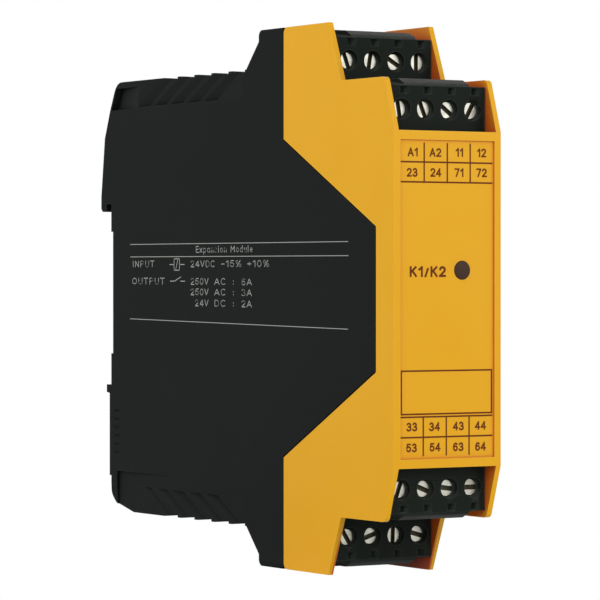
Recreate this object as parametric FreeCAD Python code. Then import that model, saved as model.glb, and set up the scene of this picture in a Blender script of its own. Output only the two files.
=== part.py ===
import FreeCAD, Part

import math
import os

os.makedirs("parts", exist_ok=True)

Vector = FreeCAD.Vector

# Contact expansion module on a 35 mm mounting rail.
# Frame: origin at the middle of the rail seat, +Y toward the rail, the label face toward -Y,
# +Z up and X across the width. All sizes are in millimetres.
# Side profiles are drawn as (depth, level): depth counts back from the label face, and level
# counts up from the housing's mid-height.

# Whole module
module_height = 99.0
rail_seat_depth = 103.7
rail_rise = 0.8
cheek_wall = 1.0
side_wall = 1.0
deck_wall = 1.3
inner_wall = 1.2
joint_gap = 0.3

# Front cover
face_drop = 8.55
face_wall = 1.5
cheek_lead = 0.25
cheek_rise = 0.85
cheek_step_lead = 3.2
cheek_step_lag = 1.1
cheek_corner_round = 1.2
label_recess = 0.3
label_side_lip = 1.35
label_end_lip = 1.6
lug_height = 5.0
lug_level = 7.0
lug_reach = 7.8
lug_wall = 0.8
lug_nose = 0.45
lug_nose_length = 1.5
lug_side_play = 0.1
lug_nose_play = 0.05

# Zigzag joint between cover and housing, upper half
joint_front = 6.0
joint_mid_drop = 4.15
joint_high_rise = 2.75
rear_plug_gap = 1.3

# Rear housing
tower_length = 8.8
tower_foot_drop = 2.1
tower_slope_run = 4.6
deck_drop = 7.0
top_corner_setback = 1.8
back_knee_reach = 2.7
back_knee_drop = 11.0
tower_corner_round = 1.2
top_corner_round = 3.0
bottom_corner_round = 2.0
bottom_slope_run = 6.9
bottom_slope_setback = 1.8
bottom_slope_rise = 1.5
bottom_back_rise = 3.3
seat_relief = 0.75
seat_relief_half = 12.1

# Rail and hook
rail_width = 35.0
hook_reach = 4.2
hook_slot = 2.0
hook_overlap = 1.4
hook_play = 0.1
hook_top_wall = 1.4
hook_chamfer = 0.6
stop_play = 0.85
stop_reach = 1.9
stop_height = 1.7
stop_bevel = 0.2
heel_reach = 0.7
heel_rise = 3.6

# Ribbed grips
grip_height = 5.5
grip_front_gap = 1.1
grip_taper = 0.35
tooth_count = 5
tooth_first_gap = 0.5
tooth_pitch = 6.5
tooth_length = 5.2
tooth_lean = 1.65
tooth_side_depth = 0.9
tooth_deck_depth = 0.45
scoop_length = 11.0
scoop_depth = 1.5
scoop_drop = 1.2
scoop_rim = 0.6
ledge_rise = 2.4
ledge_length = 24.0
ledge_depth = 0.5
grip_inset = 1.25
grip_cavity_step = 0.8
tooth_end_gap = 0.3

# Rail foot and spring
foot_half_width = 5.4
foot_play = 0.3
foot_thickness = 4.1
foot_seat_gap = 0.3
foot_roof_play = 2.0
foot_length = 23.9
foot_arm_thickness = 2.8
foot_nose_overlap = 1.2
foot_nose_wall = 2.0
foot_nose_setback = 0.7
foot_nose_tip = 0.6
foot_nose_slope = 0.4
foot_arm_play = 0.5
foot_flange = 1.0
foot_flange_wall = 1.2
foot_flange_drop = 4.3
foot_flange_rise = 2.6
foot_eye_height = 2.2
foot_eye_rise = 1.4
foot_eye_half_width = 2.2
foot_corner = 1.8
spring_drop = 6.3
spring_length = 8.6
spring_radius = 1.5
spring_wire = 0.4
spring_turns = 4
spring_steps = 8
spring_end_play = 0.05
spring_window_play = 0.6
anchor_height = 1.4

# Terminal plugs
poles = 4
pole_pitch = 5.0
plug_end_margin = 0.05
plug_side_play = 0.2
plug_depth = 15.4
plug_length = 18.6
plug_shoulder = 9.2
front_plug_face = 3.3
tier_setback = 17.3
rear_plug_sink = 2.05
tier_rise = 9.4
partition_gap = 0.25
plug_bevel = 0.5
hood_start = 2.2
hood_rise = 0.8
end_drop = 0.45
end_drop_width = 3.2
nose_setback = 2.6
nose_depth = 9.8
nose_side_step = 0.85
pocket_width = 1.7
pocket_height = 1.3
pocket_depth = 2.0
pocket_drop = 1.3
pocket_shift = 0.4
funnel_width = 3.8
funnel_mouth = 4.4
funnel_throat = 3.2

# Clamps: screw, cage and contact bar, measured back from the plug's face
screw_drop = 4.65
screw_sink = 1.1
head_radius = 1.6
head_height = 1.5
head_play = 0.2
head_web = 0.8
slot_width = 0.75
slot_depth = 0.7
shank_radius = 1.25
running_play = 0.05
thread_sides = 8
web_play = 0.1
cage_play = 0.15
cage_width = 3.9
cage_length = 4.6
cage_screw_wall = 1.3
cage_side_wall = 0.6
cage_base_wall = 0.8
cage_travel = 2.5
wire_space = 3.0
bar_thickness = 0.8
bar_width = 2.5
socket_wall = 0.5
socket_top_drop = 11.0
socket_end_wall = 1.0

# Headers and pins
pin_size = 1.0
pin_play = 0.075
pin_entry_play = 0.2
header_wall = 0.8
header_side_wall = 0.6
header_play = 0.2
header_floor = 2.0
header_floor_play = 0.6
header_rim_gap = 0.3
shelf_overlap = 1.8
tail_drop = 2.2
tail_step = 1.65

# Main board and what it carries
board_thickness = 1.6
board_wall_gap = 0.4
board_front = 10.5
board_back_gap = 2.7
board_edge_gap = 0.25
board_step_gap = 0.6
board_end_gap = 5.5
board_guide_gap = 3.3
guide_overlap = 1.6
guide_wall = 0.9
guide_play = 0.05
relay_count = 2
relay_front_gap = 0.8
relay_back_gap = 9.7
relay_gap = 3.5
relay_end_gap = 6.6
relay_height = 15.7
relay_base_height = 2.5
relay_standoff = 0.3
relay_foot = 2.0
relay_lip = 0.6
relay_bevel = 0.8
relay_pin_count = 7
relay_pin_end = 3.5
relay_pin_side = 3.25
relay_pin_width = 1.0
relay_pin_thickness = 0.5
parts_gap = 1.75
capacitor_height = 9.0
capacitor_depth = 7.0
capacitor_half_length = 9.0
rectifier_height = 5.0
rectifier_depth = 6.0
rectifier_length = 7.0
rectifier_gap = 4.0
disc_radius = 5.0
disc_thickness = 4.0
disc_standoff = 2.0
disc_gap = 2.0
disc_stem_width = 2.5
resistor_count = 4
resistor_pitch = 4.5
resistor_gap = 3.8
resistor_width = 2.4
resistor_length = 6.5
resistor_height = 1.4

# Status lamp
lamp_across = 3.2
lamp_level_share = 0.173
lens_radius = 1.65
lens_play = 0.05
lens_setback = 0.02
lens_flange = 0.75
lens_flange_thickness = 0.8
lamp_radius = 1.5
lamp_gap = 0.3
lamp_body = 4.6
lead_size = 0.5
lead_pitch = 2.54
lead_inset = 0.6

# Rest angles of the screw slots, in degrees counter-clockwise from level, left to right
slot_angles = {
    "upper_rear": (110, 80, -30, 90),
    "upper_front": (100, -67, -37, 61),
    "lower_front": (70, -22, -8, 0),
    "lower_rear": (-58, 18, 88, -16),
}

# Derived values
plug_half = poles * pole_pitch / 2 + plug_end_margin
cheek_inner = plug_half + plug_side_play
half_width = cheek_inner + cheek_wall
half_height = module_height / 2
cavity_half = half_width - side_wall
grip_cavity_half = cavity_half - grip_inset
deck_level = half_height - deck_drop
tower_foot_level = half_height - tower_foot_drop
back_knee_level = deck_level - back_knee_drop
bottom_slope_level = deck_level - bottom_slope_rise
bottom_back_level = deck_level - bottom_back_rise
grip_start_level = deck_level - grip_height
grip_cavity_level = grip_start_level - grip_cavity_step
rail_half = rail_width / 2
rail_low = rail_rise - rail_half
rear_plug_face = front_plug_face + tier_setback
rear_plug_top = half_height - rear_plug_sink
front_plug_top = rear_plug_top - tier_rise
header_floor_drop = plug_length + header_floor_play + header_floor
front_shelf = front_plug_top - header_floor_drop
rear_shelf = rear_plug_top - header_floor_drop
face_half_height = front_plug_top - face_drop
lamp_level = lamp_level_share * face_half_height
shelf_front = front_plug_face - cheek_lead
shelf_level = front_plug_top + cheek_rise
tower_front_low = rear_plug_face - cheek_step_lead
tower_front_high = rear_plug_face + cheek_step_lag
joint_mid_level = front_shelf - joint_mid_drop
joint_high_level = rear_shelf + joint_high_rise
joint_rear = rear_plug_face + plug_depth + rear_plug_gap
partition_front = front_plug_face + plug_depth + partition_gap
tower_wall_front = joint_rear + joint_gap / 2
tower_back = joint_rear + tower_length
deck_front = tower_back + tower_slope_run
top_corner_depth = rail_seat_depth - top_corner_setback
back_knee_depth = rail_seat_depth + back_knee_reach
bottom_slope_depth = rail_seat_depth - bottom_slope_setback
bottom_slope_start = bottom_slope_depth - bottom_slope_run
head_bottom = screw_sink + head_height
cage_space_front = head_bottom + running_play + head_web
cage_closed = cage_space_front + cage_play
cage_open = cage_closed + cage_travel
bar_front = cage_open + cage_screw_wall + cage_play
bar_back = bar_front + bar_thickness
cage_base = bar_back + wire_space
cage_back = cage_base + cage_base_wall
cage_space_back = cage_back + cage_play
socket_inner = pin_size / 2 + pin_play
socket_outer = socket_inner + socket_wall
pin_setback = bar_back + socket_inner
board_left = -cavity_half + board_wall_gap
board_right = board_left + board_thickness
foot_front = rail_seat_depth - foot_seat_gap - foot_thickness
lug_back = face_wall + lug_reach
channel_floor = foot_front - foot_play
foot_low = rail_low - foot_length
spring_top = rail_low - spring_drop
spring_bottom = spring_top - spring_length
room_back = channel_floor - deck_wall
board_back = room_back - board_back_gap
board_half_height = deck_level - deck_wall - board_end_gap
board_guide_front = deck_front + board_guide_gap
relay_seat = board_right + relay_standoff
relay_first = deck_front + relay_front_gap
relay_room = room_back - relay_back_gap - relay_first
relay_width = (relay_room - (relay_count - 1) * relay_gap) / relay_count
relay_length = 2 * (board_half_height - guide_overlap - relay_end_gap)
tiers = {
    "upper_front": (front_plug_face, front_plug_top, False),
    "upper_rear": (rear_plug_face, rear_plug_top, False),
    "lower_front": (front_plug_face, front_plug_top, True),
    "lower_rear": (rear_plug_face, rear_plug_top, True),
}


def point(across, depth, level):
    return Vector(across, depth - rail_seat_depth, level - rail_rise)


def slab(corners, left, right):
    points = [point(left, depth, level) for depth, level in corners]
    face = Part.Face(Part.makePolygon(points + points[:1]))
    return face.extrude(Vector(right - left, 0, 0))


def block(left, right, near, far, low, high):
    return Part.makeBox(right - left, far - near, high - low, point(left, near, low))


def beam(corners, near, far):
    # A bar along the depth, from its section drawn as (across, level).
    points = [point(across, near, level) for across, level in corners]
    face = Part.Face(Part.makePolygon(points + points[:1]))
    return face.extrude(Vector(0, far - near, 0))


def rod(radius, across, level, near, far):
    # A round bar along the depth.
    return Part.makeCylinder(radius, far - near, point(across, near, level), Vector(0, 1, 0))


def threaded(radius, across, level, near, far):
    # A thread, or the hole for one, is drawn as an eight-sided bar that just holds the radius.
    outer = radius / math.cos(math.pi / thread_sides)
    corners = []
    for index in range(thread_sides):
        turn = (2 * index + 1) * math.pi / thread_sides
        corners.append((across + outer * math.cos(turn), level + outer * math.sin(turn)))
    return beam(corners, near, far)


def flip(shape):
    # The same form below the housing's mid-height.
    return shape.mirror(point(0, 0, 0), Vector(0, 0, 1))


def both_ends(shape):
    return [shape, flip(shape)]


def both_sides(shape):
    return [shape, shape.mirror(Vector(0, 0, 0), Vector(1, 0, 0))]


def all_corners(shape):
    return [copy for side in both_sides(shape) for copy in both_ends(side)]


def join(first, others):
    # Flat faces left by the union are merged into one.
    return first.fuse(others).removeSplitter()


def mirrored_level(corners):
    return [(depth, -level) for depth, level in reversed(corners)]


def round_across(shape, radius, corners):
    # Rounds the edges that run across the width through the given (depth, level) corners.
    chosen = []
    for edge in shape.Edges:
        start = edge.Vertexes[0].Point
        end = edge.Vertexes[-1].Point
        for depth, level in corners:
            place = point(0, depth, level)
            level_with = abs(start.y - place.y) + abs(start.z - place.z) < 1e-4
            runs_across = abs(end.y - start.y) + abs(end.z - start.z) < 1e-4
            if level_with and runs_across:
                chosen.append(edge)
    return shape.makeFillet(radius, chosen)


def inset(corners, wall):
    # Moves each side of a clockwise outline inward by the wall and meets them again.
    count = len(corners)
    sides = []
    for index in range(count):
        (ax, ay) = corners[index]
        (bx, by) = corners[(index + 1) % count]
        length = math.hypot(bx - ax, by - ay)
        along = ((bx - ax) / length, (by - ay) / length)
        inward = (along[1], -along[0])
        sides.append((ax + inward[0] * wall, ay + inward[1] * wall, along[0], along[1]))
    met = []
    for index in range(count):
        (px, py, ux, uy) = sides[index - 1]
        (qx, qy, vx, vy) = sides[index]
        cross = ux * vy - uy * vx
        run = ((qx - px) * vy - (qy - py) * vx) / cross
        met.append((px + ux * run, py + uy * run))
    return met


def joint_line(offset):
    # Upper half of the zigzag joint, moved square to itself by the offset.
    lean = math.atan2(joint_high_level - joint_mid_level, joint_rear - joint_front)
    lift = offset * math.tan(math.pi / 4 - lean / 2)
    return [
        (joint_front + offset, joint_mid_level - lift),
        (joint_rear + offset, joint_high_level - lift),
    ]


def pole_places():
    first = -(poles - 1) / 2 * pole_pitch
    return [first + index * pole_pitch for index in range(poles)]


# Rear housing


def housing_upper_outline():
    return joint_line(joint_gap / 2) + [
        (tower_wall_front, half_height),
        (tower_back, half_height),
        (tower_back, tower_foot_level),
        (deck_front, deck_level),
    ]


def housing_back_outline():
    back = rail_seat_depth + hook_reach
    lip = rail_seat_depth + hook_slot
    relief = rail_seat_depth - seat_relief
    slot_top = rail_rise + rail_half + hook_play
    lip_low = slot_top - hook_play - hook_overlap
    stop = rail_low - stop_play
    heel = rail_seat_depth + heel_reach
    heel_low = bottom_back_level - heel_rise
    return [
        (top_corner_depth, deck_level),
        (back_knee_depth, back_knee_level),
        (back, slot_top + hook_top_wall),
        (back, lip_low + hook_chamfer),
        (back - hook_chamfer, lip_low),
        (lip, lip_low),
        (lip, slot_top),
        (rail_seat_depth, slot_top),
        (rail_seat_depth, rail_rise + seat_relief_half),
        (relief, rail_rise + seat_relief_half),
        (relief, rail_rise - seat_relief_half),
        (rail_seat_depth, rail_rise - seat_relief_half),
        (rail_seat_depth, stop),
        (rail_seat_depth + stop_reach, stop),
        (rail_seat_depth + stop_reach, stop - stop_height + stop_bevel),
        (heel, stop - stop_height),
        (heel, -heel_low),
        (rail_seat_depth, -heel_low),
        (rail_seat_depth, -bottom_back_level),
        (bottom_slope_depth, -bottom_slope_level),
        (bottom_slope_start, -deck_level),
    ]


def housing_core_outline():
    # What the side walls close in: the tower, the decks and the back without hook and stops.
    relief = rail_seat_depth - seat_relief
    hook_root = rail_rise + rail_half + hook_play + hook_top_wall
    foot_roof = rail_low + foot_nose_overlap + foot_roof_play
    tower = [
        (tower_wall_front, half_height),
        (tower_back, half_height),
        (tower_back, tower_foot_level),
        (deck_front, deck_level),
    ]
    back = [
        (top_corner_depth, deck_level),
        (back_knee_depth, back_knee_level),
        (rail_seat_depth + hook_reach, hook_root),
        (relief, hook_root),
        (relief, foot_roof),
        (channel_floor, foot_roof),
        (channel_floor, -deck_level),
    ]
    return tower + back + mirrored_level(tower)


def housing_cavity():
    core = inset(housing_core_outline(), deck_wall)
    narrow = slab(core, -grip_cavity_half, grip_cavity_half)
    wide = slab(core, -cavity_half, cavity_half)
    middle = block(-cavity_half, cavity_half, 0, module_height * 2, -grip_cavity_level, grip_cavity_level)
    tower = block(-cavity_half, cavity_half, 0, deck_front, -module_height, module_height)
    front = block(-cavity_half, cavity_half, 0, tower_wall_front, -module_height, module_height)
    neck_level = rear_shelf - inner_wall
    neck_back = tower_wall_front + 2 * deck_wall
    neck = block(-cavity_half, cavity_half, 0, neck_back, -neck_level, neck_level)
    return narrow.fuse([wide.common(middle), wide.common(tower), front, neck])


def side_wedge(front, back, depth_front, depth_back, low, high, run):
    # A cut into the side wall that gets deeper from one end to the other and leans forward by the run.
    corners = [
        (half_width + 1, front),
        (half_width - depth_front, front),
        (half_width - depth_back, back),
        (half_width + 1, back),
    ]
    points = [point(across, depth, low) for across, depth in corners]
    face = Part.Face(Part.makePolygon(points + points[:1]))
    return face.extrude(Vector(0, -run, high - low))


def grip_teeth(high):
    # Leaning saw teeth on the sides, and the same teeth across the deck.
    low = grip_start_level + tooth_end_gap
    cuts = []
    for index in range(tooth_count):
        front = deck_front + tooth_first_gap + index * tooth_pitch
        run = (high - low) * tooth_lean
        tooth = side_wedge(
            front + run, front + run + tooth_length, tooth_side_depth, 0, low, high, run
        )
        step = slab(
            [
                (front, high),
                (front, deck_level - tooth_deck_depth),
                (front + tooth_length, deck_level),
                (front + tooth_length, high),
            ],
            -half_width - 1,
            half_width + 1,
        )
        cuts += all_corners(tooth) + both_ends(step)
    return cuts


def grip_cuts():
    high = deck_level + 1
    taper = beam(
        [
            (half_width, grip_start_level),
            (half_width + 1, high),
            (half_width - grip_taper, high),
        ],
        deck_front + grip_front_gap,
        rail_seat_depth + hook_reach,
    )
    lean = (back_knee_depth - top_corner_depth) / back_knee_drop
    scoop_back = top_corner_depth + grip_height * lean - scoop_rim
    scoop = side_wedge(
        scoop_back - scoop_length,
        scoop_back,
        0,
        scoop_depth,
        grip_start_level,
        deck_level - scoop_drop,
        (grip_height - scoop_drop) * lean,
    )
    ledge_back = bottom_slope_depth - scoop_rim
    ledge = side_wedge(
        ledge_back - ledge_length, ledge_back, 0, ledge_depth, -high, ledge_rise - grip_start_level, 0
    )
    return all_corners(taper) + both_sides(scoop) + both_sides(ledge) + grip_teeth(high)


def foot_channel():
    half = foot_half_width + foot_play
    roof = rail_low + foot_nose_overlap + foot_arm_play
    channel = block(-half, half, channel_floor, rail_seat_depth + hook_reach, -module_height, roof)
    flange_half = half + foot_flange
    middle = foot_front + foot_thickness / 2
    reach = foot_flange_wall / 2 + foot_play
    groove = block(
        -flange_half,
        flange_half,
        middle - reach,
        middle + reach,
        -module_height,
        rail_low - foot_flange_drop + foot_play,
    )
    return channel.fuse(groove)


def spring_anchor():
    low = spring_bottom - anchor_height
    half = foot_eye_half_width - foot_play
    back = foot_front + foot_thickness - spring_window_play
    return block(-half, half, channel_floor - deck_wall / 2, back, low, low + anchor_height)


def header_shelves():
    # Partition between the two tiers, with the ledges that the headers sit on.
    partition_back = partition_front + inner_wall
    rim = rear_plug_top - plug_shoulder - header_rim_gap
    header_back = nose_setback + nose_depth + header_play + header_wall
    header_front = nose_setback - header_play - header_wall
    front_ledge = front_plug_face + header_back - shelf_overlap
    rear_ledge = rear_plug_face + header_back - shelf_overlap
    rear_tip = rear_plug_face + header_front + shelf_overlap
    upright = block(
        -cavity_half, cavity_half, partition_front, partition_back, front_shelf - inner_wall, rim
    )
    lower = block(
        -cavity_half, cavity_half, front_ledge, partition_front, front_shelf - inner_wall, front_shelf
    )
    middle = block(
        -cavity_half, cavity_half, partition_back, rear_tip, rear_shelf - inner_wall, rear_shelf
    )
    upper = block(
        -cavity_half, cavity_half, rear_ledge, tower_wall_front, rear_shelf - inner_wall, rear_shelf
    )
    return both_ends(upright.fuse([lower, middle, upper]))


def board_guides():
    # Pads and rails that hold the board's long edges.
    low = board_half_height - guide_overlap
    rail_left = board_right + guide_play
    roof = deck_level - deck_wall
    pad = block(
        -cavity_half, board_left - guide_play, board_guide_front, board_back, low, grip_cavity_level
    )
    rail = block(rail_left, rail_left + guide_wall, board_guide_front, board_back, low, roof)
    return both_ends(pad) + both_ends(rail)


def lug_recess(side):
    half = lug_height / 2 + lug_side_play
    recess = block(
        cavity_half - lug_side_play,
        cavity_half + lug_nose + lug_nose_play,
        lug_back - lug_nose_length - lug_side_play,
        lug_back + lug_side_play,
        lug_level - half,
        lug_level + half,
    )
    return recess if side > 0 else recess.mirror(Vector(0, 0, 0), Vector(1, 0, 0))


def rear_housing():
    upper = housing_upper_outline()
    back = housing_back_outline()
    body = slab(upper + back + mirrored_level(upper), -half_width, half_width)
    body = round_across(
        body, tower_corner_round, [(tower_back, half_height), (tower_back, -half_height)]
    )
    body = round_across(body, top_corner_round, [(top_corner_depth, deck_level)])
    body = round_across(
        body,
        bottom_corner_round,
        [(rail_seat_depth, -bottom_back_level), (bottom_slope_depth, -bottom_slope_level)],
    )
    body = body.cut([housing_cavity()] + grip_cuts())
    body = join(body, header_shelves() + board_guides())
    recesses = [copy for side in (-1, 1) for copy in both_ends(lug_recess(side))]
    body = body.cut([foot_channel()] + recesses)
    return join(body, [spring_anchor()])


# Front cover


def cover_upper_outline():
    line = joint_line(-joint_gap / 2)
    return [
        (0, face_half_height),
        (shelf_front, shelf_level),
        (tower_front_low, shelf_level),
        (tower_front_high, half_height),
        (joint_rear - joint_gap / 2, half_height),
    ] + list(reversed(line))


def cover_lug():
    low = lug_level - lug_height / 2
    outer = cavity_half - lug_side_play
    arm = block(outer - lug_wall, outer, face_wall, lug_back, low, low + lug_height)
    corners = [
        point(outer, lug_back - lug_nose_length, low),
        point(outer + lug_nose, lug_back - lug_nose_length, low),
        point(outer, lug_back, low),
    ]
    nose = Part.Face(Part.makePolygon(corners + corners[:1]))
    return arm.fuse(nose.extrude(Vector(0, 0, lug_height)))


def front_cover():
    upper = cover_upper_outline()
    body = slab(upper + mirrored_level(upper), -half_width, half_width)
    corners = [(shelf_front, shelf_level), (joint_rear - joint_gap / 2, half_height)]
    for corner in corners:
        body = round_across(body, cheek_corner_round, [corner, (corner[0], -corner[1])])
    inside = block(-cheek_inner, cheek_inner, face_wall, module_height, -module_height, module_height)
    above = block(-cheek_inner, cheek_inner, -1, face_wall, face_half_height, module_height)
    recess = block(
        -half_width + label_side_lip,
        half_width - label_side_lip,
        -1,
        label_recess,
        -face_half_height + label_end_lip,
        face_half_height - label_end_lip,
    )
    hole = rod(lens_radius + lens_play, lamp_across, lamp_level, -1, face_wall + 1)
    body = body.cut([inside, recess, hole] + both_ends(above))
    rib_back = front_plug_face + nose_setback - header_play - header_wall + shelf_overlap
    rib = block(-cheek_inner, cheek_inner, face_wall, rib_back, front_shelf - inner_wall, front_shelf)
    return join(body, both_ends(rib) + all_corners(cover_lug()))


# Status lamp


def status_lens():
    # A short light rod with a square flange behind the label face.
    back = face_wall + lens_flange_thickness
    barrel = rod(lens_radius, lamp_across, lamp_level, lens_setback, back)
    half = lens_radius + lens_flange
    flange = block(
        lamp_across - half, lamp_across + half, face_wall, back, lamp_level - half, lamp_level + half
    )
    return join(barrel, [flange])


def lamp_leads():
    near = face_wall + lens_flange_thickness + lamp_gap + lamp_body
    bend = board_front + lead_inset
    half = lead_size / 2
    leads = []
    for side in (-1, 1):
        low = lamp_level + side * lead_pitch / 2 - half
        high = low + lead_size
        straight = block(lamp_across - half, lamp_across + half, near, bend + half, low, high)
        run = block(board_right, lamp_across + half, bend - half, bend + half, low, high)
        leads.append(join(straight, [run]))
    return leads


def status_lamp():
    tip = face_wall + lens_flange_thickness + lamp_gap
    back = tip + lamp_body
    barrel = rod(lamp_radius, lamp_across, lamp_level, tip, back)
    return join(barrel, lamp_leads())


# Terminal plugs, drawn for the upper tiers and flipped for the lower ones


def plug_body(face, top):
    back = face + plug_depth
    shoulder = top - plug_shoulder
    crown = top + hood_rise
    body = slab(
        [
            (face, shoulder),
            (face, top - plug_bevel),
            (face + plug_bevel, top),
            (face + hood_start, crown),
            (back, crown),
            (back, shoulder),
        ],
        -plug_half,
        plug_half,
    )
    nose_half = plug_half - nose_side_step
    nose_front = face + nose_setback
    nose = block(
        -nose_half, nose_half, nose_front, nose_front + nose_depth, top - plug_length, shoulder
    )
    drop = block(plug_half - end_drop_width, plug_half, face, back, top - end_drop, crown)
    body = join(body, [nose]).cut(both_sides(drop))
    cuts = []
    for across in pole_places():
        cuts += pole_cuts(across, face, top)
    return body.cut(cuts)


def pole_cuts(across, face, top):
    level = top - screw_drop
    half_cage = cage_length / 2 + cage_play
    half_space = cage_width / 2 + cage_play
    head_hole = rod(head_radius + head_play, across, level, face, face + head_bottom + running_play)
    shank_hole = threaded(shank_radius + web_play, across, level, face, face + cage_space_front)
    cage_space = block(
        across - half_space,
        across + half_space,
        face + cage_space_front,
        face + cage_space_back,
        level - half_cage,
        level + half_cage,
    )
    wire_axis = face + (bar_back + cage_base) / 2
    mouth = funnel_mouth / 2
    throat = funnel_throat / 2
    funnel = slab(
        [
            (wire_axis - throat, level),
            (wire_axis - throat, level + half_cage),
            (wire_axis - mouth, top + hood_rise),
            (wire_axis + mouth, top + hood_rise),
            (wire_axis + throat, level + half_cage),
            (wire_axis + throat, level),
        ],
        across - funnel_width / 2,
        across + funnel_width / 2,
    )
    pocket_left = across + pocket_shift - pocket_width / 2
    pocket_low = top - pocket_drop - pocket_height / 2
    pocket = block(
        pocket_left,
        pocket_left + pocket_width,
        face,
        face + pocket_depth,
        pocket_low,
        pocket_low + pocket_height,
    )
    end = top - plug_length + socket_end_wall
    chamber = block(
        across - bar_width / 2,
        across + bar_width / 2,
        face + bar_front,
        face + pin_setback + socket_outer,
        end,
        level,
    )
    entry_half = pin_size / 2 + pin_entry_play
    entry = block(
        across - entry_half,
        across + entry_half,
        face + pin_setback - entry_half,
        face + pin_setback + entry_half,
        top - plug_length,
        end,
    )
    return [head_hole, shank_hole, cage_space, funnel, pocket, chamber, entry]


def contact_bars(face, top):
    # A flat bar under the screw that ends in a square pin socket.
    bars = []
    level = top - screw_drop
    end = top - plug_length + socket_end_wall
    for across in pole_places():
        bar = block(
            across - bar_width / 2,
            across + bar_width / 2,
            face + bar_front,
            face + bar_back,
            top - socket_top_drop,
            level + cage_length / 2 - cage_play,
        )
        centre = face + pin_setback
        socket = block(
            across - socket_outer,
            across + socket_outer,
            face + bar_front,
            centre + socket_outer,
            end,
            top - socket_top_drop,
        )
        hollow = block(
            across - socket_inner,
            across + socket_inner,
            centre - socket_inner,
            centre + socket_inner,
            end,
            top - socket_top_drop,
        )
        bars.append(join(bar, [socket.cut(hollow)]))
    return bars


def terminal_screw(across, face, top, angle):
    level = top - screw_drop
    head = rod(head_radius, across, level, face + screw_sink, face + head_bottom)
    shank = threaded(
        shank_radius * math.cos(math.pi / thread_sides),
        across,
        level,
        face + head_bottom,
        face + bar_front - running_play,
    )
    slot = block(
        across - head_radius,
        across + head_radius,
        face + screw_sink,
        face + screw_sink + slot_depth,
        level - slot_width / 2,
        level + slot_width / 2,
    )
    slot.rotate(point(across, 0, level), Vector(0, -1, 0), angle)
    return join(head, [shank]).cut(slot)


def clamp_cage(across, face, top):
    level = top - screw_drop
    half = cage_width / 2
    reach = cage_length / 2
    shell = block(
        across - half, across + half, face + cage_open, face + cage_back, level - reach, level + reach
    )
    window = block(
        across - half + cage_side_wall,
        across + half - cage_side_wall,
        face + cage_open + cage_screw_wall,
        face + cage_base,
        level - reach,
        level + reach,
    )
    hole = threaded(
        shank_radius + running_play, across, level, face, face + cage_open + cage_screw_wall
    )
    return shell.cut([window, hole])


# Headers and their pins


def header_shroud(face, top):
    near = face + nose_setback - header_play
    far = near + nose_depth + 2 * header_play
    inner_half = plug_half - header_side_wall
    bottom = top - header_floor_drop
    rim = top - plug_shoulder - header_rim_gap
    shell = block(-plug_half, plug_half, near - header_wall, far + header_wall, bottom, rim)
    hollow = block(-inner_half, inner_half, near, far, bottom + header_floor, rim)
    return shell.cut([hollow] + header_pins(face, top))


def header_pins(face, top):
    # Each pin goes down through the floor and turns toward the board, the far ones lowest.
    half = pin_size / 2
    centre = face + pin_setback
    bottom = top - header_floor_drop
    pins = []
    for index, across in enumerate(pole_places()):
        level = bottom - tail_drop - index * tail_step
        upright = block(
            across - half,
            across + half,
            centre - half,
            centre + half,
            level - half,
            top - socket_top_drop - pin_entry_play,
        )
        tail = block(board_right, across + half, centre - half, centre + half, level - half, level + half)
        pins.append(join(upright, [tail]))
    return pins


# Main board and what it carries


def relay_near(number):
    return relay_first + number * (relay_width + relay_gap)


def relay_pins(number):
    pins = []
    near = relay_near(number) + relay_pin_side
    far = relay_near(number) + relay_width - relay_pin_side
    pitch = (relay_length - 2 * relay_pin_end) / (relay_pin_count - 1)
    for depth in (near, far):
        for index in range(relay_pin_count):
            level = (index - (relay_pin_count - 1) / 2) * pitch
            pins.append(
                block(
                    board_right,
                    relay_seat + relay_standoff,
                    depth - relay_pin_thickness / 2,
                    depth + relay_pin_thickness / 2,
                    level - relay_pin_width / 2,
                    level + relay_pin_width / 2,
                )
            )
    return pins


def relay_base(number):
    near = relay_near(number)
    half = relay_length / 2
    plate = block(
        relay_seat, relay_seat + relay_base_height, near, near + relay_width, -half, half
    )
    feet = []
    for low in (-half, half - relay_foot):
        for depth in (near, near + relay_width - relay_foot):
            feet.append(
                block(board_right, relay_seat, depth, depth + relay_foot, low, low + relay_foot)
            )
    return join(plate, feet + relay_pins(number))


def relay_cover(number):
    near = relay_near(number) + relay_lip
    far = relay_near(number) + relay_width - relay_lip
    half = relay_length / 2 - relay_lip
    left = relay_seat + relay_base_height
    right = relay_seat + relay_height
    cover = block(left, right, near, far, -half, half)
    corners = [edge for edge in cover.Edges if edge.BoundBox.XLength > relay_bevel]
    corners = [edge for edge in corners if edge.BoundBox.YLength + edge.BoundBox.ZLength < relay_bevel]
    return cover.makeChamfer(relay_bevel, corners)


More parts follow.
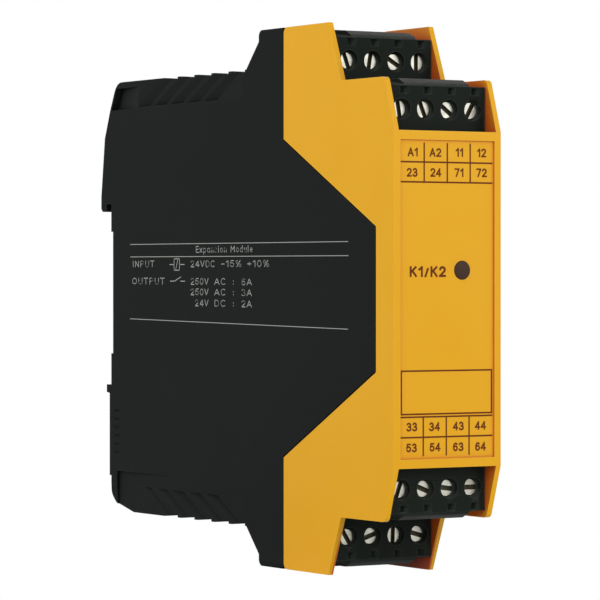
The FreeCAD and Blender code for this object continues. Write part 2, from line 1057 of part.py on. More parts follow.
def board_parts():
    # Film capacitor, rectifier, suppressor disc and resistors near the terminal side.
    left = board_right
    near = tower_wall_front + deck_wall + parts_gap
    capacitor_back = near + capacitor_depth
    rectifier_low = capacitor_half_length + rectifier_gap
    rectifier_high = rectifier_low + rectifier_length
    parts = [
        block(
            left,
            left + capacitor_height,
            near,
            capacitor_back,
            -capacitor_half_length,
            capacitor_half_length,
        ),
        block(
            left,
            left + rectifier_height,
            near,
            near + rectifier_depth,
            rectifier_low,
            rectifier_high,
        ),
    ]
    disc_level = rectifier_high + disc_gap + disc_radius
    disc = rod(disc_radius, left + disc_radius + disc_standoff, disc_level, near, near + disc_thickness)
    stem = block(
        left,
        left + disc_radius,
        near + disc_thickness / 4,
        near + disc_thickness * 3 / 4,
        disc_level - disc_stem_width / 2,
        disc_level + disc_stem_width / 2,
    )
    parts.append(join(disc, [stem]))
    for index in range(resistor_count):
        high = -capacitor_half_length - resistor_gap - index * resistor_pitch
        low = high - resistor_width
        parts.append(block(left, left + resistor_height, near, near + resistor_length, low, high))
    return parts


def main_board():
    front_edge = front_shelf - inner_wall - board_edge_gap
    rear_edge = rear_shelf - inner_wall - board_edge_gap
    step_one = partition_front + inner_wall + board_step_gap
    step_two = tower_wall_front + deck_wall + board_step_gap
    upper = [
        (board_front, front_edge),
        (step_one, front_edge),
        (step_one, rear_edge),
        (step_two, rear_edge),
        (step_two, board_half_height),
        (board_back, board_half_height),
    ]
    return slab(upper + mirrored_level(upper), board_left, board_right)


# Rail foot and its spring


def rail_foot():
    back = foot_front + foot_thickness
    nose_top = rail_low + foot_nose_overlap
    arm_top = rail_low - foot_arm_play
    nose_back = rail_seat_depth + hook_reach - foot_nose_setback
    nose_front = nose_back - foot_nose_wall
    low = foot_low
    profile = [
        (foot_front, arm_top),
        (nose_front, arm_top),
        (nose_front, nose_top),
        (nose_front + foot_nose_tip, nose_top),
        (nose_back, arm_top - foot_nose_slope),
        (nose_back, arm_top - foot_arm_thickness),
        (back, arm_top - foot_arm_thickness),
        (back, low + foot_corner),
        (back - foot_corner, low),
        (foot_front, low),
    ]
    foot = slab(profile, -foot_half_width, foot_half_width)
    middle = foot_front + foot_thickness / 2
    flange_half = foot_half_width + foot_flange
    flange = block(
        -flange_half,
        flange_half,
        middle - foot_flange_wall / 2,
        middle + foot_flange_wall / 2,
        foot_low + foot_flange_rise,
        rail_low - foot_flange_drop,
    )
    window_low = spring_bottom - anchor_height - foot_play
    window = block(
        -foot_eye_half_width, foot_eye_half_width, foot_front, back, window_low, spring_top
    )
    eye = block(
        -foot_eye_half_width,
        foot_eye_half_width,
        foot_front,
        back,
        low + foot_eye_rise,
        low + foot_eye_rise + foot_eye_height,
    )
    return join(foot, [flange]).cut([window, eye])


def foot_spring():
    # A coil drawn as short straight lengths of square wire, each turned a little from the last.
    half_wire = spring_wire / 2
    rise = spring_length - spring_wire - 2 * spring_end_play
    middle = foot_front + foot_thickness / 2
    low = spring_bottom + half_wire + spring_end_play
    count = spring_turns * spring_steps
    rings = []
    for index in range(count + 1):
        turn = 2 * math.pi * index / spring_steps
        level = low + rise * index / count
        ring = []
        for side, lift in ((-1, -1), (1, -1), (1, 1), (-1, 1)):
            reach = spring_radius + side * half_wire
            place = (reach * math.cos(turn), middle + reach * math.sin(turn))
            ring.append(point(place[0], place[1], level + lift * half_wire))
        rings.append(ring)
    faces = [Part.Face(Part.makePolygon(ring + ring[:1])) for ring in (rings[0], rings[-1])]
    for near, far in zip(rings, rings[1:]):
        for corner in range(4):
            following = (corner + 1) % 4
            first = [near[corner], near[following], far[following]]
            second = [near[corner], far[following], far[corner]]
            faces += [Part.Face(Part.makePolygon(three + three[:1])) for three in (first, second)]
    return Part.makeSolid(Part.makeShell(faces))


# Writing the nodes


def write(name, shape):
    solids = shape if isinstance(shape, list) else [shape]
    whole = solids[0] if len(solids) == 1 else Part.makeCompound(solids)
    whole.exportStep("parts/" + name + ".step")


write("rear_housing", rear_housing())
write("front_cover", front_cover())
write("status_lens", status_lens())
write("status_lamp", status_lamp())
write("main_board", main_board())
write("board_parts", board_parts())
write("rail_foot", rail_foot())
write("foot_spring", foot_spring())
for number in range(relay_count):
    write("relay_%d_base" % (number + 1), relay_base(number))
    write("relay_%d_cover" % (number + 1), relay_cover(number))

for tier, (face, top, lower) in tiers.items():
    turn = flip if lower else (lambda shape: shape)
    write("plug_" + tier, turn(plug_body(face, top)))
    write("contacts_" + tier, [turn(bar) for bar in contact_bars(face, top)])
    write("header_" + tier, turn(header_shroud(face, top)))
    write("pins_" + tier, [turn(pin) for pin in header_pins(face, top)])
    for index, across in enumerate(pole_places()):
        angle = slot_angles[tier][index]
        if lower:
            angle = -angle
        place = "_%s_%d" % (tier, index + 1)
        write("screw" + place, turn(terminal_screw(across, face, top, angle)))
        write("cage" + place, turn(clamp_cage(across, face, top)))
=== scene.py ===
import math

import bmesh
import bpy
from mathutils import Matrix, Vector


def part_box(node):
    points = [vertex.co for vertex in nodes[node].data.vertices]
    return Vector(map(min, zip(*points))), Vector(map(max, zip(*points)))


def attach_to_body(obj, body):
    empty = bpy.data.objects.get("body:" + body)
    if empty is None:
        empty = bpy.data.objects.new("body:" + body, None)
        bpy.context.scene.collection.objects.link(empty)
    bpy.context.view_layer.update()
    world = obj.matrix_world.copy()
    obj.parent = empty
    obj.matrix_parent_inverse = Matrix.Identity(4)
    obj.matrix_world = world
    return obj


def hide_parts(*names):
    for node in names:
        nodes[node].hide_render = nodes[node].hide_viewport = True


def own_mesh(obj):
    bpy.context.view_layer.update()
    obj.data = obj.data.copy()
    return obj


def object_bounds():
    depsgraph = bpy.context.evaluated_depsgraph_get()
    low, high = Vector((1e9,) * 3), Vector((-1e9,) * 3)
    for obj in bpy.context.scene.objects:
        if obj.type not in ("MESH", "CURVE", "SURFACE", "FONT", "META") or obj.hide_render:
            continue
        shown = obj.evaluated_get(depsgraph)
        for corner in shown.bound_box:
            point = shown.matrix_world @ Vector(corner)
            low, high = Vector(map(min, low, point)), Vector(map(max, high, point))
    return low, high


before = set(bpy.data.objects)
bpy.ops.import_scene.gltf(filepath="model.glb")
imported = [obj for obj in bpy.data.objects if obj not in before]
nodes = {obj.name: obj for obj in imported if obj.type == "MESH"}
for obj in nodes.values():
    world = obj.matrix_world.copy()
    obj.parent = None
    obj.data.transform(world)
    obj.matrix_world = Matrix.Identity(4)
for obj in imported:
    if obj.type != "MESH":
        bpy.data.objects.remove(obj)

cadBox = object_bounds()
millimetre = 0.001
tierNames = ("upper_front", "upper_rear", "lower_front", "lower_rear")
poleCount = 4

# Places on the module are given as in its drawing: across, back from the label face, and up
# from the housing's mid-height, in millimetres.
drawing = dict(seatDepth=103.7, railRise=0.8, halfWidth=11.25)


def placeOn(across, depth, level):
    return Vector((across, depth - drawing["seatDepth"], level - drawing["railRise"])) * millimetre


def inkColour(red, green, blue):
    # A colour as read off a screen, turned into the linear values that materials take.
    channels = []
    for value in (red, green, blue):
        share = value / 255
        channels.append(share / 12.92 if share <= 0.04045 else ((share + 0.055) / 1.055) ** 2.4)
    return (channels[0], channels[1], channels[2], 1)


# Shader groups that several finishes share. A gain says how steeply a mask rises, and a noise is
# used between its low and high values, which it seldom leaves.

shading = dict(
    pitShare=0.5, edgeSamples=4, edgeGain=6.0, wearAndHighlightPatches=900.0, closedSamples=6, innerGain=1.6,
    hollowGain=3.0, noiseLow=0.3, noiseHigh=0.7, glossDrift=0.05, swirlSpread=0.2,
    inkSmooth=0.45, inkDull=0.65)


def newShaderGroup(name, inputs, outputs):
    group = bpy.data.node_groups.new(name, "ShaderNodeTree")
    for label, value in inputs:
        socket = group.interface.new_socket(name=label, in_out="INPUT", socket_type="NodeSocketFloat")
        socket.default_value = value
    for label in outputs:
        group.interface.new_socket(name=label, in_out="OUTPUT", socket_type="NodeSocketFloat")
    return group, group.nodes.new("NodeGroupInput"), group.nodes.new("NodeGroupOutput")


def addNode(tree, kind, settings=None, **values):
    node = tree.nodes.new(kind)
    for name, value in (settings or {}).items():
        setattr(node, name, value)
    for name, value in values.items():
        node.inputs[name.replace("_", " ")].default_value = value
    return node


def addMath(tree, operation, first, second=None, clamp=False):
    node = tree.nodes.new("ShaderNodeMath")
    node.operation = operation
    node.use_clamp = clamp
    for index, value in enumerate((first, second)):
        if isinstance(value, (int, float)):
            node.inputs[index].default_value = value
        elif value is not None:
            tree.links.new(value, node.inputs[index])
    return node.outputs[0]


def mixColour(tree, mask, first, second):
    node = tree.nodes.new("ShaderNodeMix")
    node.data_type = "RGBA"
    for index, value in ((0, mask), (6, first), (7, second)):
        if isinstance(value, tuple):
            node.inputs[index].default_value = value
        else:
            tree.links.new(value, node.inputs[index])
    return node.outputs[2]


def noiseOn(tree, place, scale, detail=3.0, roughness=0.6):
    node = addNode(tree, "ShaderNodeTexNoise", Detail=detail, Roughness=roughness)
    tree.links.new(place, node.inputs["Vector"])
    if isinstance(scale, (int, float)):
        node.inputs["Scale"].default_value = scale
    else:
        tree.links.new(scale, node.inputs["Scale"])
    return node.outputs["Fac"]


def makeMouldGrain():
    # Spark-eroded mould texture: fine pits, with a slow drift in gloss and shade.
    group, entry, leave = newShaderGroup(
        "mouldGrain", [("Grain Size", 0.0002), ("Drift Size", 0.02)], ["Height", "Drift"])
    place = addNode(group, "ShaderNodeTexCoord").outputs["Object"]
    fineScale = addMath(group, "DIVIDE", 1.0, entry.outputs["Grain Size"])
    slowScale = addMath(group, "DIVIDE", 1.0, entry.outputs["Drift Size"])
    pits = addNode(group, "ShaderNodeTexVoronoi")
    group.links.new(place, pits.inputs["Vector"])
    group.links.new(fineScale, pits.inputs["Scale"])
    fine = noiseOn(group, place, fineScale)
    pitted = addMath(group, "MULTIPLY", pits.outputs["Distance"], shading["pitShare"])
    group.links.new(addMath(group, "ADD", fine, pitted), leave.inputs["Height"])
    group.links.new(noiseOn(group, place, slowScale, 4.0), leave.inputs["Drift"])
    return group


def makeEdgeWearAndHighlight():
    # Where an edge turns, the surface turns a little paler, in patches: partly edge wear, and partly a
    # painted highlight where the edge catches light.
    group, entry, leave = newShaderGroup("edgeWearAndHighlight", [("Reach", 0.0003), ("Amount", 0.5)], ["Mask"])
    rounded = addNode(group, "ShaderNodeBevel", {"samples": shading["edgeSamples"]})
    group.links.new(entry.outputs["Reach"], rounded.inputs["Radius"])
    surface = addNode(group, "ShaderNodeNewGeometry")
    turn = addNode(group, "ShaderNodeVectorMath", {"operation": "DOT_PRODUCT"})
    group.links.new(rounded.outputs["Normal"], turn.inputs[0])
    group.links.new(surface.outputs["Normal"], turn.inputs[1])
    away = addMath(group, "SUBTRACT", 1.0, turn.outputs["Value"])
    sharp = addMath(group, "MULTIPLY", away, shading["edgeGain"], True)
    place = addNode(group, "ShaderNodeTexCoord").outputs["Object"]
    broken = addMath(group, "MULTIPLY", sharp, noiseOn(group, place, shading["wearAndHighlightPatches"]))
    group.links.new(addMath(group, "MULTIPLY", broken, entry.outputs["Amount"], True), leave.inputs["Mask"])
    return group


def makeDustFilm():
    # A little dust lies on faces that look up.
    group, entry, leave = newShaderGroup("dustFilm", [("Amount", 0.1), ("Patch Size", 0.004)], ["Mask"])
    surface = addNode(group, "ShaderNodeNewGeometry")
    parts = addNode(group, "ShaderNodeSeparateXYZ")
    group.links.new(surface.outputs["Normal"], parts.inputs[0])
    place = addNode(group, "ShaderNodeTexCoord").outputs["Object"]
    scale = addMath(group, "DIVIDE", 1.0, entry.outputs["Patch Size"])
    patches = noiseOn(group, place, scale, 5.0, 0.7)
    upward = addMath(group, "MULTIPLY", addMath(group, "MAXIMUM", parts.outputs["Z"], 0.0), patches)
    group.links.new(addMath(group, "MULTIPLY", upward, entry.outputs["Amount"], True), leave.inputs["Mask"])
    return group


def closedIn(group, reach):
    # How far the faces within reach close a place in, from 0 in the open to 1.
    nearby = addNode(group, "ShaderNodeAmbientOcclusion", {"samples": shading["closedSamples"]})
    group.links.new(reach, nearby.inputs["Distance"])
    return addMath(group, "SUBTRACT", 1.0, nearby.outputs["AO"])


def makeInnerShade():
    # Painted shade between the cheeks: where the faces nearby close a place in, the colour turns toward a
    # deep orange, standing in for the shade there and for light that has passed from wall to wall.
    group, entry, leave = newShaderGroup(
        "innerShade", [("Reach", 0.006), ("Amount", 0.8), ("Half Width", 0.0106)], ["Mask"])
    closed = closedIn(group, entry.outputs["Reach"])
    deep = addMath(group, "MULTIPLY", closed, shading["innerGain"], True)
    parts = addNode(group, "ShaderNodeSeparateXYZ")
    group.links.new(addNode(group, "ShaderNodeTexCoord").outputs["Object"], parts.inputs[0])
    across = addMath(group, "ABSOLUTE", parts.outputs["X"])
    inside = addMath(group, "LESS_THAN", across, entry.outputs["Half Width"])
    inner = addMath(group, "MULTIPLY", deep, inside)
    group.links.new(addMath(group, "MULTIPLY", inner, entry.outputs["Amount"], True), leave.inputs["Mask"])
    return group


def makePaintedHollowShading():
    # Painted light and shade in hollows: where the faces nearby close a place in, the colour turns toward
    # the hollow's colour. The wells of the plugs are painted paler, for light that reaches into them, and
    # the grooves of the housing are painted darker than its faces, as their shade.
    group, entry, leave = newShaderGroup(
        "paintedHollowShading", [("Reach", 0.002), ("Start", 0.45), ("Amount", 0.8)], ["Mask"])
    closed = closedIn(group, entry.outputs["Reach"])
    beyond = addMath(group, "SUBTRACT", closed, entry.outputs["Start"])
    deep = addMath(group, "MULTIPLY", beyond, shading["hollowGain"], True)
    group.links.new(addMath(group, "MULTIPLY", deep, entry.outputs["Amount"], True), leave.inputs["Mask"])
    return group


mouldGrain = makeMouldGrain()
edgeWearAndHighlight = makeEdgeWearAndHighlight()
dustFilm = makeDustFilm()
innerShade = makeInnerShade()
paintedHollowShading = makePaintedHollowShading()


def placeGroup(tree, group, **values):
    node = tree.nodes.new("ShaderNodeGroup")
    node.node_tree = group
    for name, value in values.items():
        node.inputs[name.replace("_", " ")].default_value = value
    return node


def newMaterial(name):
    material = bpy.data.materials.new(name)
    material.use_nodes = True
    tree = material.node_tree
    place = addNode(tree, "ShaderNodeTexCoord").outputs["Object"]
    return material, tree, tree.nodes["Principled BSDF"], place


def mapValue(tree, value, low, high):
    node = addNode(
        tree, "ShaderNodeMapRange", From_Min=shading["noiseLow"], From_Max=shading["noiseHigh"],
        To_Min=low, To_Max=high)
    tree.links.new(value, node.inputs["Value"])
    return node.outputs["Result"]


def addBump(tree, surface, height, strength, distance):
    bump = addNode(tree, "ShaderNodeBump", Strength=strength, Distance=distance)
    tree.links.new(height, bump.inputs["Height"])
    tree.links.new(bump.outputs["Normal"], surface.inputs["Normal"])


dustColour = inkColour(200, 196, 188)


def mouldedPlastic(name, look):
    material, tree, surface, _ = newMaterial(name)
    grain = placeGroup(tree, mouldGrain, Grain_Size=look["grain"], Drift_Size=look["drift"])
    wearAndHighlight = placeGroup(tree, edgeWearAndHighlight, Reach=look["wearAndHighlightReach"], Amount=look["wearAndHighlight"])
    dust = placeGroup(tree, dustFilm, Amount=look["dust"])
    drifted = mixColour(tree, grain.outputs["Drift"], look["colour"], look["shade"])
    # Painted shade between the cheeks, toward a deep orange.
    if "innerShadeColour" in look:
        inner = placeGroup(
            tree, innerShade, Reach=look["innerReach"], Amount=look["inner"], Half_Width=look["innerHalf"])
        drifted = mixColour(tree, inner.outputs["Mask"], drifted, look["innerShadeColour"])
    # Painted light and shade in hollows.
    if "hollowShadingColour" in look:
        hollow = placeGroup(
            tree, paintedHollowShading, Reach=look["hollowReach"], Start=look["hollowStart"], Amount=look["hollow"])
        drifted = mixColour(tree, hollow.outputs["Mask"], drifted, look["hollowShadingColour"])
    # Edge wear, with a painted highlight where the edge catches light.
    wornAndHighlit = mixColour(tree, wearAndHighlight.outputs["Mask"], drifted, look["wearAndHighlightColour"])
    dusty = mixColour(tree, dust.outputs["Mask"], wornAndHighlit, dustColour)
    tree.links.new(dusty, surface.inputs["Base Color"])
    gloss = mapValue(
        tree, grain.outputs["Drift"], look["roughness"] - shading["glossDrift"],
        look["roughness"] + shading["glossDrift"])
    tree.links.new(gloss, surface.inputs["Roughness"])
    addBump(tree, surface, grain.outputs["Height"], look["bump"], look["pit"])
    surface.inputs["Specular IOR Level"].default_value = look["specular"]
    return material


def platedMetal(name, look):
    # Drawn or rolled metal with its plating; a turned head has rings round its own axis instead.
    material, tree, surface, place = newMaterial(name)
    stains = noiseOn(tree, place, look["stainScale"], 4.0)
    if "ringPitch" in look:
        radius = addNode(tree, "ShaderNodeAttribute", {"attribute_name": "axisDistance"})
        marks = addMath(tree, "SINE", addMath(
            tree, "MULTIPLY", radius.outputs["Fac"], 2 * math.pi / look["ringPitch"]))
    else:
        stretch = addNode(tree, "ShaderNodeMapping", Scale=look["scratchStretch"])
        tree.links.new(place, stretch.inputs["Vector"])
        marks = noiseOn(tree, stretch.outputs["Vector"], look["scratchScale"], 2.0)
    plating = mixColour(tree, stains, look["colour"], look["shade"])
    gloss = mapValue(tree, stains, look["smooth"], look["dull"])
    surface.inputs["Metallic"].default_value = 1.0
    if "belowFaceStart" in look:
        # From a little below the face, the slot and the side of the head turn darker, duller and less
        # metallic.
        depth = addNode(tree, "ShaderNodeAttribute", {"attribute_name": "faceDepth"})
        below = addMath(tree, "SUBTRACT", depth.outputs["Fac"], look["belowFaceStart"])
        belowFace = addMath(tree, "MULTIPLY", below, 1 / look["belowFaceStart"], True)
        plating = mixColour(tree, belowFace, plating, look["belowFaceColour"])
        gloss = addMath(tree, "ADD", gloss, addMath(tree, "MULTIPLY", belowFace, look["belowFaceDull"]))
        covered = addMath(tree, "MULTIPLY", belowFace, look["belowFaceCover"])
        tree.links.new(addMath(tree, "SUBTRACT", 1.0, covered), surface.inputs["Metallic"])
    tree.links.new(plating, surface.inputs["Base Color"])
    tree.links.new(gloss, surface.inputs["Roughness"])
    addBump(tree, surface, addMath(tree, "ADD", marks, stains), look["bump"], look["pit"])
    return material


def printedInk(name, look):
    material, tree, surface, place = newMaterial(name)
    cover = noiseOn(tree, place, look["patchScale"], 4.0, 0.7)
    tree.links.new(mixColour(tree, cover, look["colour"], look["thin"]), surface.inputs["Base Color"])
    gloss = mapValue(tree, cover, shading["inkSmooth"], shading["inkDull"])
    tree.links.new(gloss, surface.inputs["Roughness"])
    surface.inputs["Specular IOR Level"].default_value = look["specular"]
    return material


def smoothPlastic(name, look):
    material, tree, surface, place = newMaterial(name)
    swirl = noiseOn(tree, place, look["swirlScale"])
    tree.links.new(mixColour(tree, swirl, look["colour"], look["shade"]), surface.inputs["Base Color"])
    gloss = mapValue(
        tree, swirl, look["roughness"] * (1 - shading["swirlSpread"]),
        look["roughness"] * (1 + shading["swirlSpread"]))
    tree.links.new(gloss, surface.inputs["Roughness"])
    surface.inputs["Specular IOR Level"].default_value = look["specular"]
    return material


def solderResist(name, look):
    # The board's lacquer over copper tracks that run along it.
    material, tree, surface, place = newMaterial(name)
    turn = addNode(tree, "ShaderNodeMapping", Rotation=(0, math.radians(90), 0))
    tracks = addNode(
        tree, "ShaderNodeTexBrick", Scale=look["trackScale"], Mortar_Size=look["gapShare"],
        Color1=look["lacquer"], Color2=look["track"], Mortar=look["gap"])
    tree.links.new(place, turn.inputs["Vector"])
    tree.links.new(turn.outputs["Vector"], tracks.inputs["Vector"])
    tree.links.new(tracks.outputs["Color"], surface.inputs["Base Color"])
    addBump(tree, surface, tracks.outputs["Fac"], look["bump"], look["pit"])
    surface.inputs["Roughness"].default_value = look["roughness"]
    return material


blackPlastic = mouldedPlastic("blackMoulding", dict(
    colour=inkColour(23, 26, 25), shade=inkColour(27, 30, 29), wearAndHighlightColour=inkColour(54, 59, 57),
    # Painted shade: the grooves and hollows of the housing turn near black.
    hollowShadingColour=inkColour(3, 4, 4), hollowReach=0.0016, hollowStart=0.05, hollow=0.9,
    grain=0.00024, drift=0.03, wearAndHighlightReach=0.0003, wearAndHighlight=0.5, dust=0.1,
    roughness=0.6, bump=0.35, pit=0.00003, specular=0.03))
plugPlastic = mouldedPlastic("plugMoulding", dict(
    # The plug's pale edge mix is strong: edge wear and a painted highlight along its edges.
    colour=inkColour(25, 30, 26), shade=inkColour(29, 34, 30), wearAndHighlightColour=inkColour(80, 88, 82),
    # Painted light: the plug's wells turn paler, for light that reaches into them.
    hollowShadingColour=inkColour(90, 99, 90), hollowReach=0.002, hollowStart=0.42, hollow=0.9,
    grain=0.00018, drift=0.012, wearAndHighlightReach=0.00025, wearAndHighlight=0.8, dust=0.12,
    roughness=0.5, bump=0.25, pit=0.00002, specular=0.03))
yellowPlastic = mouldedPlastic("yellowMoulding", dict(
    colour=inkColour(230, 170, 22), shade=inkColour(227, 165, 15), wearAndHighlightColour=inkColour(240, 192, 84),
    # Painted shade: a deep orange between the cheeks.
    innerShadeColour=inkColour(196, 66, 36), innerReach=0.009, inner=0.95, innerHalf=0.0106,
    grain=0.0002, drift=0.02, wearAndHighlightReach=0.0003, wearAndHighlight=0.5, dust=0.04,
    roughness=0.42, bump=0.2, pit=0.00002, specular=0.15))
relayWhite = mouldedPlastic("relayCase", dict(
    colour=inkColour(226, 224, 214), shade=inkColour(216, 214, 203), wearAndHighlightColour=inkColour(240, 238, 230),
    grain=0.0003, drift=0.015, wearAndHighlightReach=0.0004, wearAndHighlight=0.3, dust=0.1,
    roughness=0.4, bump=0.2, pit=0.00002, specular=0.4))
screwZinc = platedMetal("turnedZinc", dict(
    colour=(0.4, 0.4, 0.345, 1), shade=(0.29, 0.28, 0.235, 1), ringPitch=0.00016, stainScale=900.0,
    belowFaceStart=0.0002, belowFaceColour=inkColour(62, 58, 38), belowFaceDull=0.3, belowFaceCover=0.7,
    smooth=0.28, dull=0.42, bump=0.25, pit=0.00001))
cageZinc = platedMetal("foldedZinc", dict(
    colour=(0.72, 0.72, 0.69, 1), shade=(0.6, 0.59, 0.54, 1), stainScale=700.0, scratchScale=1600.0,
    scratchStretch=(1, 0.15, 1), smooth=0.3, dull=0.45, bump=0.2, pit=0.00002))
contactTin = platedMetal("tinPlate", dict(
    colour=(0.8, 0.79, 0.75, 1), shade=(0.68, 0.67, 0.63, 1), stainScale=500.0, scratchScale=2200.0,
    scratchStretch=(1, 1, 0.1), smooth=0.22, dull=0.36, bump=0.15, pit=0.00001))
springWire = platedMetal("springWire", dict(
    colour=(0.58, 0.58, 0.57, 1), shade=(0.48, 0.47, 0.46, 1), stainScale=800.0, scratchScale=2500.0,
    scratchStretch=(1, 1, 0.3), smooth=0.25, dull=0.4, bump=0.15, pit=0.00001))
frontInk = printedInk("brownInk", dict(
    colour=inkColour(92, 42, 10), thin=inkColour(106, 54, 14), patchScale=3000.0, specular=0.1))
# Painted shade: the nicks on the left side are a near-black film.
nickShade = printedInk("nickShade", dict(
    colour=inkColour(3, 4, 4), thin=inkColour(6, 8, 8), patchScale=2000.0, specular=0.03))
sideInk = printedInk("greyInk", dict(
    colour=inkColour(172, 175, 169), thin=inkColour(158, 161, 156), patchScale=3000.0, specular=0.25))
smokeLens = smoothPlastic("smokeLens", dict(
    colour=inkColour(58, 40, 30), shade=inkColour(68, 48, 36), swirlScale=400.0,
    roughness=0.5, specular=0.12))
lampEpoxy = smoothPlastic("lampEpoxy", dict(
    colour=inkColour(214, 222, 210), shade=inkColour(200, 209, 198), swirlScale=300.0,
    roughness=0.12, specular=0.5))
partsGrey = smoothPlastic("partsGrey", dict(
    colour=inkColour(96, 102, 112), shade=inkColour(84, 90, 99), swirlScale=250.0,
    roughness=0.35, specular=0.5))
boardGreen = solderResist("solderResist", dict(
    lacquer=inkColour(28, 96, 58), track=inkColour(36, 112, 66), gap=inkColour(20, 78, 46),
    trackScale=160.0, gapShare=0.03, roughness=0.3, bump=0.3, pit=0.00004))
print("finishes made")


def dress(nodeName, material):
    mesh = nodes[nodeName].data
    mesh.materials.clear()
    mesh.materials.append(material)


for tier in tierNames:
    dress("header_" + tier, blackPlastic)
    dress("pins_" + tier, contactTin)
    dress("contacts_" + tier, contactTin)
    for pole in range(1, poleCount + 1):
        dress("cage_%s_%d" % (tier, pole), cageZinc)
for number in (1, 2):
    dress("relay_%d_base" % number, blackPlastic)
    dress("relay_%d_cover" % number, relayWhite)
dress("status_lamp", lampEpoxy)
dress("main_board", boardGreen)
dress("board_parts", partsGrey)
print("inner nodes dressed")


def makePlain(piece):
    # The evaluated shape becomes the object's own mesh, and its modifiers go.
    bpy.context.view_layer.update()
    evaluated = piece.evaluated_get(bpy.context.evaluated_depsgraph_get())
    mesh = bpy.data.meshes.new_from_object(evaluated)
    piece.modifiers.clear()
    piece.data = mesh
    mesh.name = piece.name
    return piece


def newPiece(name, mesh):
    piece = bpy.data.objects.new(name, mesh)
    bpy.context.scene.collection.objects.link(piece)
    return piece


# Mouldings: each node's own shape, with its outer edges broken as a mould leaves them


def mouldedCopy(nodeName, pieceName, body, material, edges):
    mesh = nodes[nodeName].data.copy()
    build = bmesh.new()
    build.from_mesh(mesh)
    bmesh.ops.remove_doubles(build, verts=build.verts, dist=edges["weld"])
    if "sink" in edges:
        for vertex in build.verts:
            limit = (drawing["halfWidth"] - edges["sink"]) * millimetre
            vertex.co.x = max(-limit, min(limit, vertex.co.x))
    bmesh.ops.dissolve_limit(
        build, angle_limit=math.radians(edges["flat"]), verts=build.verts, edges=build.edges)
    weight = build.edges.layers.float.new("bevel_weight_edge")
    for edge in build.edges:
        if len(edge.link_faces) == 2 and edge.calc_length() > edges["shortest"]:
            if edge.calc_face_angle_signed(0) > math.radians(edges["turn"]):
                edge[weight] = 1.0
    for face in build.faces:
        face.smooth = True
    build.to_mesh(mesh)
    build.free()
    mesh.set_sharp_from_angle(angle=math.radians(edges["turn"]))
    mesh.materials.clear()
    mesh.materials.append(material)
    piece = newPiece(pieceName, mesh)
    bevel = piece.modifiers.new("brokenEdges", "BEVEL")
    bevel.limit_method = "WEIGHT"
    bevel.width = edges["width"]
    bevel.segments = edges["segments"]
    bevel.use_clamp_overlap = True
    leaning = piece.modifiers.new("evenShading", "WEIGHTED_NORMAL")
    leaning.keep_sharp = True
    makePlain(piece)
    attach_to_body(piece, body)
    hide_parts(nodeName)
    return piece


# Edges that turn by at least so many degrees are broken, and the housing's side faces sink a
# little, to leave room for the printing inside the module's width.
edgeRules = dict(weld=2e-6, flat=0.4, shortest=0.0009, turn=28)
coverEdges = dict(edgeRules, width=0.00025, segments=3)
housingEdges = dict(edgeRules, width=0.0002, segments=2, sink=0.02)
smallEdges = dict(edgeRules, width=0.00015, segments=2)

mouldedCopy("front_cover", "frontCover", "module", yellowPlastic, coverEdges)
mouldedCopy("rear_housing", "rearHousing", "module", blackPlastic, housingEdges)
for tier in tierNames:
    pieceName = "plug" + tier.title().replace("_", "")
    mouldedCopy("plug_" + tier, pieceName, "plug_" + tier, plugPlastic, smallEdges)
mouldedCopy("rail_foot", "railFoot", "rail_foot", blackPlastic, smallEdges)
print("mouldings made")


# Geometry node trees for what repeats


def newShapeTree(name, inputs):
    tree = bpy.data.node_groups.new(name, "GeometryNodeTree")
    for label, kind, value in inputs:
        socket = tree.interface.new_socket(name=label, in_out="INPUT", socket_type="NodeSocket" + kind)
        if value is not None:
            socket.default_value = value
    tree.interface.new_socket(name="Geometry", in_out="OUTPUT", socket_type="NodeSocketGeometry")
    return tree, tree.nodes.new("NodeGroupInput").outputs, tree.nodes.new("NodeGroupOutput")


def link(tree, source, target):
    if isinstance(source, bpy.types.NodeSocket):
        tree.links.new(source, target)
    elif source is not None:
        target.default_value = source


def shapeNode(tree, kind, settings=None, **sources):
    node = tree.nodes.new("GeometryNode" + kind)
    for name, value in (settings or {}).items():
        setattr(node, name, value)
    for name, source in sources.items():
        link(tree, source, node.inputs[name.replace("_", " ")])
    return node


def vectorOf(tree, x, y, z):
    node = tree.nodes.new("ShaderNodeCombineXYZ")
    for value, socket in zip((x, y, z), node.inputs):
        link(tree, value, socket)
    return node.outputs[0]


def moved(tree, geometry, place=None, turn=None):
    node = shapeNode(tree, "Transform", Geometry=geometry, Translation=place, Rotation=turn)
    return node.outputs["Geometry"]


def joined(tree, *geometries):
    node = tree.nodes.new("GeometryNodeJoinGeometry")
    for geometry in geometries:
        tree.links.new(geometry, node.inputs[0])
    return node.outputs[0]


def endTree(tree, leave, geometry, finish):
    # Every tree ends in real geometry with its material.
    realized = shapeNode(tree, "RealizeInstances", Geometry=geometry).outputs["Geometry"]
    painted = shapeNode(tree, "SetMaterial", Geometry=realized, Material=finish)
    tree.links.new(painted.outputs["Geometry"], leave.inputs["Geometry"])


def negative(tree, value):
    return addMath(tree, "MULTIPLY", value, -1.0)


# Counts of sides, how far below the face a point still counts as the face, how long the slot's
# cutter is in head radii, and how many thread wires short of the tip the thread ends.
screwMesh = dict(
    headSides=48, headBands=8, coreSides=24, threadSteps=16, threadSides=5,
    faceSlack=0.00002, cutter=3.0, threadStop=3.0)


